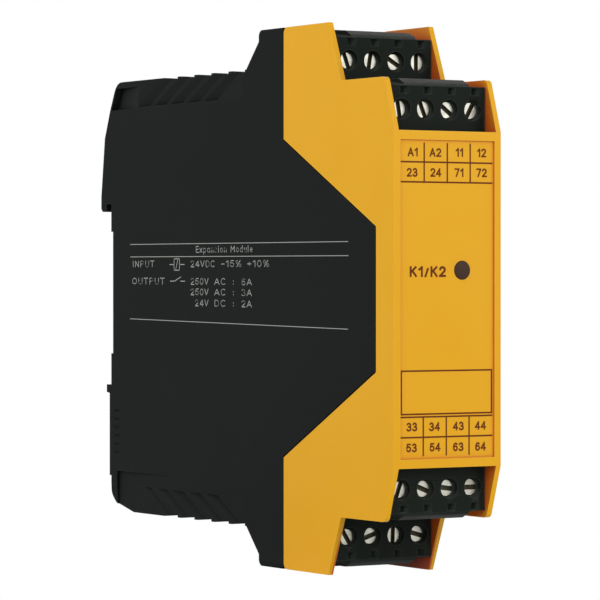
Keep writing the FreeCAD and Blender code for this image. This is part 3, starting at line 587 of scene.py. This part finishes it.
def makeScrewTree():
    # A slotted cheese-head screw, drawn with its face at the origin and its shank toward -Z,
    # then laid down so that the shank points along +Y, and set at its centre.
    tree, given, leave = newShapeTree("slottedScrew", [
        ("Head Radius", "Float", 0.0016), ("Head Height", "Float", 0.0015), ("Rim Break", "Float", 0.0002),
        ("Slot Width", "Float", 0.0007), ("Slot Depth", "Float", 0.0007), ("Slot Turn", "Float", 0.0),
        ("Core Radius", "Float", 0.00105), ("Thread Wire", "Float", 0.00013),
        ("Shank Length", "Float", 0.0075), ("Thread Turns", "Float", 15.0), ("Centre", "Vector", None),
        ("Finish", "Material", None)])
    radius, height, length = given["Head Radius"], given["Head Height"], given["Shank Length"]
    drum = shapeNode(
        tree, "MeshCylinder", Vertices=screwMesh["headSides"], Side_Segments=screwMesh["headBands"],
        Radius=radius, Depth=height).outputs["Mesh"]
    drum = moved(tree, drum, vectorOf(tree, 0.0, 0.0, addMath(tree, "MULTIPLY", height, -0.5)))
    place = tree.nodes.new("GeometryNodeInputPosition").outputs[0]
    parts = tree.nodes.new("ShaderNodeSeparateXYZ")
    tree.links.new(place, parts.inputs[0])
    top = addMath(tree, "GREATER_THAN", parts.outputs["Z"], -screwMesh["faceSlack"])
    inward = addMath(tree, "DIVIDE", given["Rim Break"], negative(tree, radius))
    shift = vectorOf(
        tree, addMath(tree, "MULTIPLY", parts.outputs["X"], inward),
        addMath(tree, "MULTIPLY", parts.outputs["Y"], inward), 0.0)
    drum = shapeNode(tree, "SetPosition", Geometry=drum, Selection=top, Offset=shift).outputs["Geometry"]
    slotSize = vectorOf(
        tree, addMath(tree, "MULTIPLY", radius, screwMesh["cutter"]), given["Slot Width"],
        addMath(tree, "MULTIPLY", given["Slot Depth"], 2.0))
    slotBar = shapeNode(tree, "MeshCube", Size=slotSize).outputs["Mesh"]
    slotBar = moved(tree, slotBar, None, vectorOf(tree, 0.0, 0.0, given["Slot Turn"]))
    cut = shapeNode(tree, "MeshBoolean", {"operation": "DIFFERENCE"})
    tree.links.new(drum, cut.inputs["Mesh 1"])
    tree.links.new(slotBar, cut.inputs["Mesh 2"])
    core = shapeNode(
        tree, "MeshCylinder", Vertices=screwMesh["coreSides"], Radius=given["Core Radius"],
        Depth=length).outputs["Mesh"]
    halfLength = addMath(tree, "MULTIPLY", length, -0.5)
    coreLevel = addMath(tree, "SUBTRACT", halfLength, height)
    core = moved(tree, core, vectorOf(tree, 0.0, 0.0, coreLevel))
    stop = addMath(tree, "MULTIPLY", given["Thread Wire"], screwMesh["threadStop"])
    reach = addMath(tree, "SUBTRACT", length, stop)
    ridge = shapeNode(
        tree, "CurveSpiral", Resolution=screwMesh["threadSteps"], Rotations=given["Thread Turns"],
        Start_Radius=given["Core Radius"], End_Radius=given["Core Radius"], Height=reach).outputs["Curve"]
    threadLevel = addMath(tree, "SUBTRACT", negative(tree, height), reach)
    ridge = moved(tree, ridge, vectorOf(tree, 0.0, 0.0, threadLevel))
    wire = shapeNode(
        tree, "CurvePrimitiveCircle", Resolution=screwMesh["threadSides"],
        Radius=given["Thread Wire"]).outputs["Curve"]
    thread = shapeNode(tree, "CurveToMesh", Curve=ridge, Profile_Curve=wire, Fill_Caps=True).outputs["Mesh"]
    whole = joined(tree, cut.outputs["Mesh"], core, thread)
    flat = vectorOf(tree, parts.outputs["X"], parts.outputs["Y"], 0.0)
    distance = tree.nodes.new("ShaderNodeVectorMath")
    distance.operation = "LENGTH"
    tree.links.new(flat, distance.inputs[0])
    named = shapeNode(
        tree, "StoreNamedAttribute", {"data_type": "FLOAT", "domain": "POINT"}, Geometry=whole,
        Name="axisDistance", Value=distance.outputs["Value"]).outputs["Geometry"]
    named = shapeNode(
        tree, "StoreNamedAttribute", {"data_type": "FLOAT", "domain": "POINT"}, Geometry=named,
        Name="faceDepth", Value=negative(tree, parts.outputs["Z"])).outputs["Geometry"]
    laid = moved(tree, named, given["Centre"], (math.radians(90), 0, 0))
    endTree(tree, leave, laid, given["Finish"])
    return tree


springMesh = dict(steps=32, sides=10)


def makeSpringTree():
    # A round-wire compression coil, standing along Z on its centre.
    tree, given, leave = newShapeTree("coilSpring", [
        ("Coil Radius", "Float", 0.0015), ("Wire Radius", "Float", 0.0002), ("Length", "Float", 0.0086),
        ("Turns", "Float", 5.0), ("Foot", "Vector", None), ("Finish", "Material", None)])
    rise = addMath(tree, "SUBTRACT", given["Length"], addMath(tree, "MULTIPLY", given["Wire Radius"], 2.0))
    line = shapeNode(
        tree, "CurveSpiral", Resolution=springMesh["steps"], Rotations=given["Turns"],
        Start_Radius=given["Coil Radius"], End_Radius=given["Coil Radius"], Height=rise).outputs["Curve"]
    section = shapeNode(
        tree, "CurvePrimitiveCircle", Resolution=springMesh["sides"],
        Radius=given["Wire Radius"]).outputs["Curve"]
    coil = shapeNode(tree, "CurveToMesh", Curve=line, Profile_Curve=section, Fill_Caps=True).outputs["Mesh"]
    coil = moved(tree, coil, vectorOf(tree, 0.0, 0.0, given["Wire Radius"]))
    endTree(tree, leave, moved(tree, coil, given["Foot"]), given["Finish"])
    return tree


def makeBarRowTree():
    # A row of like bars: printed rules, or the short marks on a side.
    tree, given, leave = newShapeTree("barRow", [
        ("Count", "Int", 2), ("Start", "Vector", None), ("Step", "Vector", None),
        ("Bar Size", "Vector", None), ("Turn", "Vector", None), ("Finish", "Material", None)])
    line = shapeNode(
        tree, "MeshLine", Count=given["Count"], Start_Location=given["Start"], Offset=given["Step"])
    bar = shapeNode(tree, "MeshCube", Size=given["Bar Size"]).outputs["Mesh"]
    row = shapeNode(
        tree, "InstanceOnPoints", Points=line.outputs["Mesh"], Instance=bar, Rotation=given["Turn"])
    endTree(tree, leave, row.outputs["Instances"], given["Finish"])
    return tree


screwTree = makeScrewTree()
springTree = makeSpringTree()
barRowTree = makeBarRowTree()


def grow(name, tree, values):
    # The tree runs with these values, and its result becomes the piece's plain mesh.
    piece = newPiece(name, bpy.data.meshes.new(name))
    modifier = piece.modifiers.new("shape", "NODES")
    modifier.node_group = tree
    for item in tree.interface.items_tree:
        if item.in_out == "INPUT" and item.name in values:
            modifier[item.identifier] = values[item.name]
    return makePlain(piece)


def attach(piece, body, slotName, *nodeNames):
    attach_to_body(piece, body)
    if nodeNames:
        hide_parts(*nodeNames)
    return piece


# Sizes in millimetres, and each slot's turn in degrees from the left pole to the right one.
screws = dict(
    pitch=5.0, sunk=1.1, drop=4.65, headRadius=1.6, headHeight=1.5, slotWidth=0.88, slotDepth=0.7,
    frontFace=3.3, rearFace=20.6, frontTop=38.05, rearTop=47.45,
    turns=dict(
        upper_rear=(110, 80, -30, 90), upper_front=(100, -67, -37, 61),
        lower_front=(70, -22, -8, 0), lower_rear=(-58, 18, 88, -16)))

for tier in tierNames:
    front = tier.endswith("front")
    side = 1 if tier.startswith("upper") else -1
    faceDepth = screws["frontFace"] if front else screws["rearFace"]
    rowLevel = side * ((screws["frontTop"] if front else screws["rearTop"]) - screws["drop"])
    for index in range(poleCount):
        nodeName = "screw_%s_%d" % (tier, index + 1)
        low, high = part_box(nodeName)
        across = (index - (poleCount - 1) / 2) * screws["pitch"]
        headDepth = screws["headHeight"] * millimetre
        values = {
            "Head Radius": screws["headRadius"] * millimetre, "Head Height": headDepth,
            "Slot Width": screws["slotWidth"] * millimetre, "Slot Depth": screws["slotDepth"] * millimetre,
            "Slot Turn": math.radians(screws["turns"][tier][index]),
            "Shank Length": high[1] - low[1] - headDepth,
            "Centre": placeOn(across, faceDepth + screws["sunk"], rowLevel), "Finish": screwZinc}
        pieceName = "terminalScrew%s%d" % (tier.title().replace("_", ""), index + 1)
        attach(grow(pieceName, screwTree, values), nodeName, "screw_steel", nodeName)
print("screws made")

springSize = dict(radius=1.5, wire=0.4, turns=4.0, depth=101.35, keep=0.628)
springLow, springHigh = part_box("foot_spring")
footSpring = grow("footSpringCoil", springTree, {
    "Coil Radius": springSize["radius"] * millimetre, "Wire Radius": springSize["wire"] / 2 * millimetre,
    "Length": springHigh[2] - springLow[2], "Turns": springSize["turns"],
    "Foot": Vector((0, placeOn(0, springSize["depth"], 0)[1], springLow[2])), "Finish": springWire})
attach(footSpring, "module", "spring_steel", "foot_spring")
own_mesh(footSpring)
print("spring made")


def turnedPiece(name, profile, centre, finish, segments, sharp):
    # A profile of (radius, depth) pairs turned about a line along the depth, in millimetres.
    build = bmesh.new()
    rings = []
    for radius, depth in profile:
        ring = []
        for index in range(segments):
            angle = 2 * math.pi * index / segments
            offset = Vector((radius * math.cos(angle), depth, radius * math.sin(angle)))
            ring.append(build.verts.new(centre + offset * millimetre))
        rings.append(ring)
    for near, far in zip(rings, rings[1:]):
        for index in range(segments):
            after = (index + 1) % segments
            build.faces.new((near[index], near[after], far[after], far[index]))
    build.faces.new(rings[0])
    build.faces.new(rings[-1])
    bmesh.ops.recalc_face_normals(build, faces=build.faces)
    for face in build.faces:
        face.smooth = True
    mesh = bpy.data.meshes.new(name)
    build.to_mesh(mesh)
    build.free()
    mesh.set_sharp_from_angle(angle=math.radians(sharp))
    mesh.materials.append(finish)
    return newPiece(name, mesh)


# The lens is drawn from its crown back to the flange that holds it behind the label face.
lens = dict(
    radius=1.65, flange=2.4, wall=1.5, flangeDepth=0.8, domeFront=0.03, dome=0.24, domeSteps=8,
    segments=48, sharp=40)
lensLow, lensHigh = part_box("status_lens")
lensRadius = lens["radius"]
profile = []
for step in range(1, lens["domeSteps"] + 1):
    angle = math.radians(90) * step / lens["domeSteps"]
    profile.append((lensRadius * math.sin(angle), lens["domeFront"] + lens["dome"] * (1 - math.cos(angle))))
profile += [(lensRadius, lens["wall"]), (lens["flange"], lens["wall"])]
profile += [(lens["flange"], lens["wall"] + lens["flangeDepth"])]
lensCentre = Vector((
    (lensLow[0] + lensHigh[0]) / 2, placeOn(0, 0, 0)[1], (lensLow[2] + lensHigh[2]) / 2))
lensPiece = turnedPiece(
    "statusLens", profile, lensCentre, smokeLens, lens["segments"], lens["sharp"])
attach(lensPiece, "module", "lens_smoke", "status_lens")
print("lens made")


# Printing: rules and words lie as a thin film on the label and on the left side


def filmStrokes(name, strokes, toPlace, normal, look, finish):
    # Straight strokes of one width, drawn between pairs of places on a flat face, each a hair
    # thicker than the one before so that crossings stay clean.
    build = bmesh.new()
    half = look["line"] / 2 * millimetre
    for number, (first, last) in enumerate(strokes):
        lift = normal * (look["ink"] / 2 + number * look["hair"]) * millimetre
        start, end = toPlace(*first), toPlace(*last)
        along = (end - start).normalized() * half
        across = normal.cross(along)
        outline = (
            start - along - across, end + along - across, end + along + across, start - along + across)
        low = [build.verts.new(corner - lift) for corner in outline]
        high = [build.verts.new(corner + lift) for corner in outline]
        build.faces.new(low)
        build.faces.new(high)
        for index in range(4):
            after = (index + 1) % 4
            build.faces.new((low[index], low[after], high[after], high[index]))
    bmesh.ops.recalc_face_normals(build, faces=build.faces)
    mesh = bpy.data.meshes.new(name)
    build.to_mesh(mesh)
    build.free()
    mesh.materials.append(finish)
    return attach(newPiece(name, mesh), "module", "cover_yellow")


def bow(across, level, reachX, reachY, first, last):
    # Points along part of an oval, from one angle to another in degrees.
    steps = 9
    points = []
    for index in range(steps + 1):
        angle = math.radians(first + (last - first) * index / steps)
        points.append((across + reachX * math.cos(angle), level + reachY * math.sin(angle)))
    return points


# Each sign is its width and its pen lines, on a height of one.
signs = {
    "0": (0.56, [bow(0.28, 0.5, 0.27, 0.5, 0, 360)]),
    "1": (0.34, [[(0.02, 0.76), (0.3, 1.0), (0.3, 0.0)]]),
    "2": (0.56, [bow(0.28, 0.72, 0.26, 0.28, 165, -35) + [(0.02, 0.0), (0.56, 0.0)]]),
    "3": (0.56, [bow(0.27, 0.75, 0.23, 0.25, 155, -90), bow(0.27, 0.26, 0.28, 0.26, 90, -155)]),
    "4": (0.6, [[(0.44, 0.0), (0.44, 1.0), (0.0, 0.28), (0.6, 0.28)]]),
    "5": (0.56, [[(0.52, 1.0), (0.12, 1.0), (0.05, 0.48)] + bow(0.28, 0.33, 0.27, 0.31, 135, -155)]),
    "6": (0.56, [bow(0.29, 0.31, 0.26, 0.31, 0, 360), bow(0.32, 0.5, 0.29, 0.5, 195, 50)]),
    "7": (0.54, [[(0.0, 1.0), (0.54, 1.0), (0.18, 0.0)]]),
    "A": (0.7, [[(0.0, 0.0), (0.35, 1.0), (0.7, 0.0)], [(0.12, 0.32), (0.58, 0.32)]]),
    "C": (0.6, [bow(0.34, 0.5, 0.33, 0.5, 50, 310)]),
    "D": (0.6, [[(0.04, 0.0), (0.04, 1.0)] + bow(0.26, 0.5, 0.32, 0.5, 90, -90) + [(0.04, 0.0)]]),
    "E": (0.5, [[(0.5, 1.0), (0.04, 1.0), (0.04, 0.0), (0.5, 0.0)], [(0.04, 0.52), (0.44, 0.52)]]),
    "I": (0.12, [[(0.06, 0.0), (0.06, 1.0)]]),
    "K": (0.62, [[(0.04, 0.0), (0.04, 1.0)], [(0.58, 1.0), (0.04, 0.4)], [(0.22, 0.6), (0.62, 0.0)]]),
    "M": (0.74, [[(0.04, 0.0), (0.04, 1.0), (0.37, 0.35), (0.7, 1.0), (0.7, 0.0)]]),
    "N": (0.62, [[(0.04, 0.0), (0.04, 1.0), (0.58, 0.0), (0.58, 1.0)]]),
    "O": (0.68, [bow(0.34, 0.5, 0.33, 0.5, 0, 360)]),
    "P": (0.56, [[(0.04, 0.0), (0.04, 1.0)] + bow(0.28, 0.74, 0.26, 0.26, 90, -90) + [(0.04, 0.48)]]),
    "T": (0.56, [[(0.0, 1.0), (0.56, 1.0)], [(0.28, 1.0), (0.28, 0.0)]]),
    "U": (0.6, [[(0.04, 1.0)] + bow(0.3, 0.28, 0.26, 0.28, 180, 360) + [(0.56, 1.0)]]),
    "V": (0.6, [[(0.0, 1.0), (0.3, 0.0), (0.6, 1.0)]]),
    "a": (0.46, [bow(0.22, 0.34, 0.2, 0.34, 0, 360), [(0.42, 0.68), (0.42, 0.0)]]),
    "d": (0.46, [bow(0.22, 0.34, 0.2, 0.34, 0, 360), [(0.42, 1.0), (0.42, 0.0)]]),
    "e": (0.46, [[(0.04, 0.36)] + bow(0.24, 0.34, 0.2, 0.34, 5, 320)]),
    "i": (0.12, [[(0.06, 0.0), (0.06, 0.68)], [(0.06, 0.9), (0.06, 0.97)]]),
    "l": (0.12, [[(0.06, 0.0), (0.06, 1.0)]]),
    "n": (0.44, [[(0.04, 0.0), (0.04, 0.68)], bow(0.22, 0.42, 0.18, 0.26, 180, 0) + [(0.4, 0.0)]]),
    "o": (0.46, [bow(0.23, 0.34, 0.21, 0.34, 0, 360)]),
    "p": (0.46, [bow(0.25, 0.34, 0.2, 0.34, 0, 360), [(0.05, 0.68), (0.05, -0.3)]]),
    "s": (0.4, [bow(0.2, 0.51, 0.17, 0.17, 40, 270) + bow(0.2, 0.17, 0.18, 0.17, 90, -140)]),
    "u": (0.44, [[(0.04, 0.68)] + bow(0.22, 0.24, 0.18, 0.24, 180, 360), [(0.4, 0.68), (0.4, 0.0)]]),
    "x": (0.42, [[(0.0, 0.68), (0.42, 0.0)], [(0.0, 0.0), (0.42, 0.68)]]),
    "%": (0.8, [
        bow(0.17, 0.78, 0.16, 0.22, 0, 360), bow(0.63, 0.22, 0.16, 0.22, 0, 360),
        [(0.16, 0.0), (0.64, 1.0)]]),
    "+": (0.5, [[(0.0, 0.45), (0.5, 0.45)], [(0.25, 0.2), (0.25, 0.7)]]),
    "-": (0.42, [[(0.0, 0.45), (0.42, 0.45)]]),
    ":": (0.12, [[(0.06, 0.06), (0.06, 0.14)], [(0.06, 0.54), (0.06, 0.62)]]),
    "/": (0.26, [[(0.0, -0.02), (0.26, 0.8)]]),
    " ": (0.3, [])}


def penReach(words, look):
    return sum(signs[letter][0] for letter in words) + look["gap"] * (len(words) - 1)


def penStrokes(words, centre, look):
    # Strokes of a word about its centre, in the millimetres of the face that it lies on.
    stretch = look["cap"] * look["wide"]
    start = centre[0] - penReach(words, look) * stretch / 2
    strokes = []
    for letter in words:
        width, lines = signs[letter]
        for line in lines:
            places = [(start + x * stretch, centre[1] + (y - 0.5) * look["cap"]) for x, y in line]
            strokes += list(zip(places, places[1:]))
        start += (width + look["gap"]) * stretch
    return strokes


# The label's rules and grid, in millimetres across and up.
label = dict(floor=0.3, ink=0.02, dividerInk=0.018, hair=0.0002, line=0.27)
labelGrid = dict(
    left=-9.7, right=9.5, levels=(24.0, 20.5, -20.55, -24.1),
    dividerCount=3, dividers=((-4.8, 4.85, 27.4, 20.5), (-4.98, 4.83, -20.55, -27.4)),
    box=(-9.55, 9.45, -12.5, -20.05))


def onLabel(across, level):
    return placeOn(across, label["floor"] - label["ink"] / 2, level)


boxLeft, boxRight, boxHigh, boxLow = labelGrid["box"]
labelStrokes = [((labelGrid["left"], level), (labelGrid["right"], level)) for level in labelGrid["levels"]]
labelStrokes += [
    ((boxLeft, boxHigh), (boxRight, boxHigh)), ((boxRight, boxHigh), (boxRight, boxLow)),
    ((boxRight, boxLow), (boxLeft, boxLow)), ((boxLeft, boxLow), (boxLeft, boxHigh))]
labelOut = Vector((0, -1, 0))
filmStrokes("labelRules", labelStrokes, onLabel, labelOut, label, frontInk)
for number, (start, step, high, low) in enumerate(labelGrid["dividers"]):
    row = grow("labelDividers%d" % (number + 1), barRowTree, {
        "Count": labelGrid["dividerCount"], "Start": onLabel(start, (high + low) / 2),
        "Step": Vector((step, 0, 0)) * millimetre,
        "Bar Size": Vector((label["line"], label["dividerInk"], high - low)) * millimetre,
        "Finish": frontInk})
    attach(row, "module", "cover_yellow")

# Words with the place of their middle, across and up
terminalPen = dict(label, cap=1.24, wide=1.12, gap=0.3)
terminalWords = (
    ("A1", -7.17, 25.7), ("A2", -2.45, 25.7), ("11", 2.62, 25.8), ("12", 7.32, 25.8),
    ("23", -7.32, 22.15), ("24", -2.36, 22.2), ("71", 2.55, 22.25), ("72", 7.32, 22.3),
    ("33", -7.38, -22.25), ("34", -2.62, -22.3), ("43", 2.4, -22.3), ("44", 7.1, -22.3),
    ("53", -7.45, -25.9), ("54", -2.52, -25.9), ("63", 2.36, -25.95), ("64", 7.1, -26.0))
for words, across, level in terminalWords:
    strokes = penStrokes(words, (across, level), terminalPen)
    filmStrokes("labelText" + words, strokes, onLabel, labelOut, terminalPen, frontInk)
lampPen = dict(label, line=0.38, cap=1.5, wide=1.26, gap=0.36)
lampStrokes = penStrokes("K1/K2", (-4.07, 4.85), lampPen)
filmStrokes("labelTextLamp", lampStrokes, onLabel, labelOut, lampPen, frontInk)

# On the left side: rules and signs from place to place, by depth and level, and words with the
# depths where they start and end and their level
sidePen = dict(ink=0.02, hair=0.0, under=0.004, line=0.15, rule=0.12, cap=1.14, gap=0.26)
sideRules = (((95.8, 10.3), (15.1, 10.2)), ((95.7, 7.85), (15.0, 7.7)), ((95.8, -4.35), (15.1, -5.35)))
sideSigns = (
    ((79.8, 6.3), (78.1, 6.3)), ((78.1, 7.4), (76.0, 7.4)), ((76.0, 7.4), (76.0, 5.2)),
    ((76.0, 5.2), (78.1, 5.2)), ((78.1, 5.2), (78.1, 7.4)), ((77.5, 5.2), (76.6, 7.4)),
    ((76.0, 6.3), (74.1, 6.3)),
    ((79.6, 3.1), (77.9, 3.1)), ((77.9, 3.1), (75.5, 3.9)), ((75.6, 3.1), (73.9, 3.1)))
sideWords = (
    ("Expansion Module", 69.6, 48.4, 9.15), ("INPUT", 94.7, 86.1, 6.45), ("OUTPUT", 94.9, 82.0, 3.1),
    ("24VDC", 71.6, 62.5, 6.4), ("-15%", 59.9, 52.5, 6.4), ("+10%", 50.2, 42.4, 6.4),
    ("250V", 71.6, 64.9, 3.05), ("AC", 62.5, 58.5, 3.05), (":", 55.5, 55.3, 3.05), ("6A", 52.4, 48.7, 3.0),
    ("250V", 71.6, 64.9, 1.05), ("AC", 62.5, 58.5, 1.05), (":", 55.5, 55.3, 1.05), ("3A", 52.4, 48.7, 1.0),
    ("24V", 69.9, 64.9, -1.05), ("DC", 62.5, 58.5, -1.05), (":", 55.5, 55.3, -1.05),
    ("2A", 52.4, 48.7, -1.1))


def onSide(depth, level):
    return placeOn(-drawing["halfWidth"] + sidePen["under"] + sidePen["ink"] / 2, depth, level)


def alongSide(forward, level):
    # As seen from the left, words run toward the label face.
    return onSide(-forward, level)


sideOut = Vector((-1, 0, 0))
filmStrokes("sideRules", sideRules, onSide, sideOut, dict(sidePen, line=sidePen["rule"]), sideInk)
filmStrokes("sideSigns", sideSigns, onSide, sideOut, sidePen, sideInk)
strokes = []
for words, start, end, level in sideWords:
    pen = dict(sidePen, wide=(start - end) / (penReach(words, sidePen) * sidePen["cap"]))
    strokes += penStrokes(words, (-(start + end) / 2, level), pen)
filmStrokes("sideWords", strokes, alongSide, sideOut, sidePen, sideInk)
# Painted shade: a row of near-black bars on the left side stands for the shade in its small nicks.
sideNicks = dict(count=6, depth=101.4, level=-22.6, pitch=1.65, length=1.9, height=0.45)
nicks = grow("sideNicks", barRowTree, {
    "Count": sideNicks["count"], "Start": onSide(sideNicks["depth"], sideNicks["level"]),
    "Step": Vector((0, 0, -sideNicks["pitch"])) * millimetre,
    "Bar Size": Vector((sidePen["ink"], sideNicks["length"], sideNicks["height"])) * millimetre,
    "Finish": nickShade})
attach(nicks, "module", "housing_black")
print("printing made")


# Camera, floor and light

view = dict(
    place=(-0.33806, -0.60858, 0.00330), aim=(-0.00879, -0.06826, -0.00110), lens=207.69,
    sensor=36, near=0.01, far=20)
room = dict(
    floorSize=4.0, floorGap=0.0003, fill=0.42, white=(1, 1, 1, 1), floorShade=(0.85, 0.85, 0.85, 1))


def aimAt(piece, target):
    piece.rotation_euler = (target - piece.location).to_track_quat("-Z", "Y").to_euler()


camera = newPiece("camera", bpy.data.cameras.new("camera"))
camera.location = view["place"]
aimAt(camera, Vector(view["aim"]))
camera.data.lens = view["lens"]
camera.data.sensor_width = view["sensor"]
camera.data.clip_start = view["near"]
camera.data.clip_end = view["far"]
bpy.context.scene.camera = camera


def whiteToCamera(tree, surface, white, away):
    # White where it is looked at or mirrored, and a plain surface where it only lights.
    rays = tree.nodes.new("ShaderNodeLightPath")
    seen = addMath(tree, "MAXIMUM", rays.outputs["Is Camera Ray"], addMath(
        tree, "MAXIMUM", rays.outputs["Is Glossy Ray"], rays.outputs["Is Transmission Ray"]))
    mix = tree.nodes.new("ShaderNodeMixShader")
    tree.links.new(seen, mix.inputs[0])
    tree.links.new(away, mix.inputs[1])
    tree.links.new(white, mix.inputs[2])
    tree.links.new(mix.outputs[0], surface)


world = bpy.data.worlds.new("world")
bpy.context.scene.world = world
world.use_nodes = True
worldTree = world.node_tree
worldTree.nodes.clear()
whiteSky = addNode(worldTree, "ShaderNodeBackground", Color=room["white"], Strength=1.0)
fillSky = addNode(worldTree, "ShaderNodeBackground", Color=room["white"], Strength=room["fill"])
worldOut = worldTree.nodes.new("ShaderNodeOutputWorld")
whiteToCamera(worldTree, worldOut.inputs["Surface"], whiteSky.outputs[0], fillSky.outputs[0])

floorReach = room["floorSize"] / 2
floorCorners = [(x * floorReach, y * floorReach, 0) for x, y in ((-1, -1), (1, -1), (1, 1), (-1, 1))]
floorMesh = bpy.data.meshes.new("floor")
floorMesh.from_pydata(floorCorners, [], [(0, 1, 2, 3)])
floor = newPiece("floor", floorMesh)
floor.location.z = cadBox[0][2] - room["floorGap"]
floorMaterial = bpy.data.materials.new("paleFloor")
floorMaterial.use_nodes = True
floorTree = floorMaterial.node_tree
floorTree.nodes.clear()
floorGlow = addNode(floorTree, "ShaderNodeEmission", Color=room["white"], Strength=1.0)
floorDiffuse = addNode(floorTree, "ShaderNodeBsdfDiffuse", Color=room["floorShade"])
floorOut = floorTree.nodes.new("ShaderNodeOutputMaterial")
whiteToCamera(floorTree, floorOut.inputs["Surface"], floorGlow.outputs[0], floorDiffuse.outputs[0])
floorMesh.materials.append(floorMaterial)

# Each lamp's place, size in metres and power in watts
lamps = (
    ("keyLamp", (-0.7, -0.95, 0.6), 0.9, 5.1), ("sideLamp", (-1.1, 0.15, 0.25), 0.9, 4.6),
    ("frontLamp", (0.6, -1.0, 0.2), 0.8, 4.9), ("backLamp", (0.7, 1.0, 0.55), 0.9, 4.0))
lampTarget = Vector((0, -0.05, 0))
for name, location, size, energy in lamps:
    light = bpy.data.lights.new(name, "AREA")
    light.shape = "SQUARE"
    light.size = size
    light.energy = energy
    lamp = newPiece(name, light)
    lamp.location = location
    aimAt(lamp, lampTarget)
bpy.context.scene.view_settings.view_transform = "Standard"
print("stage set")
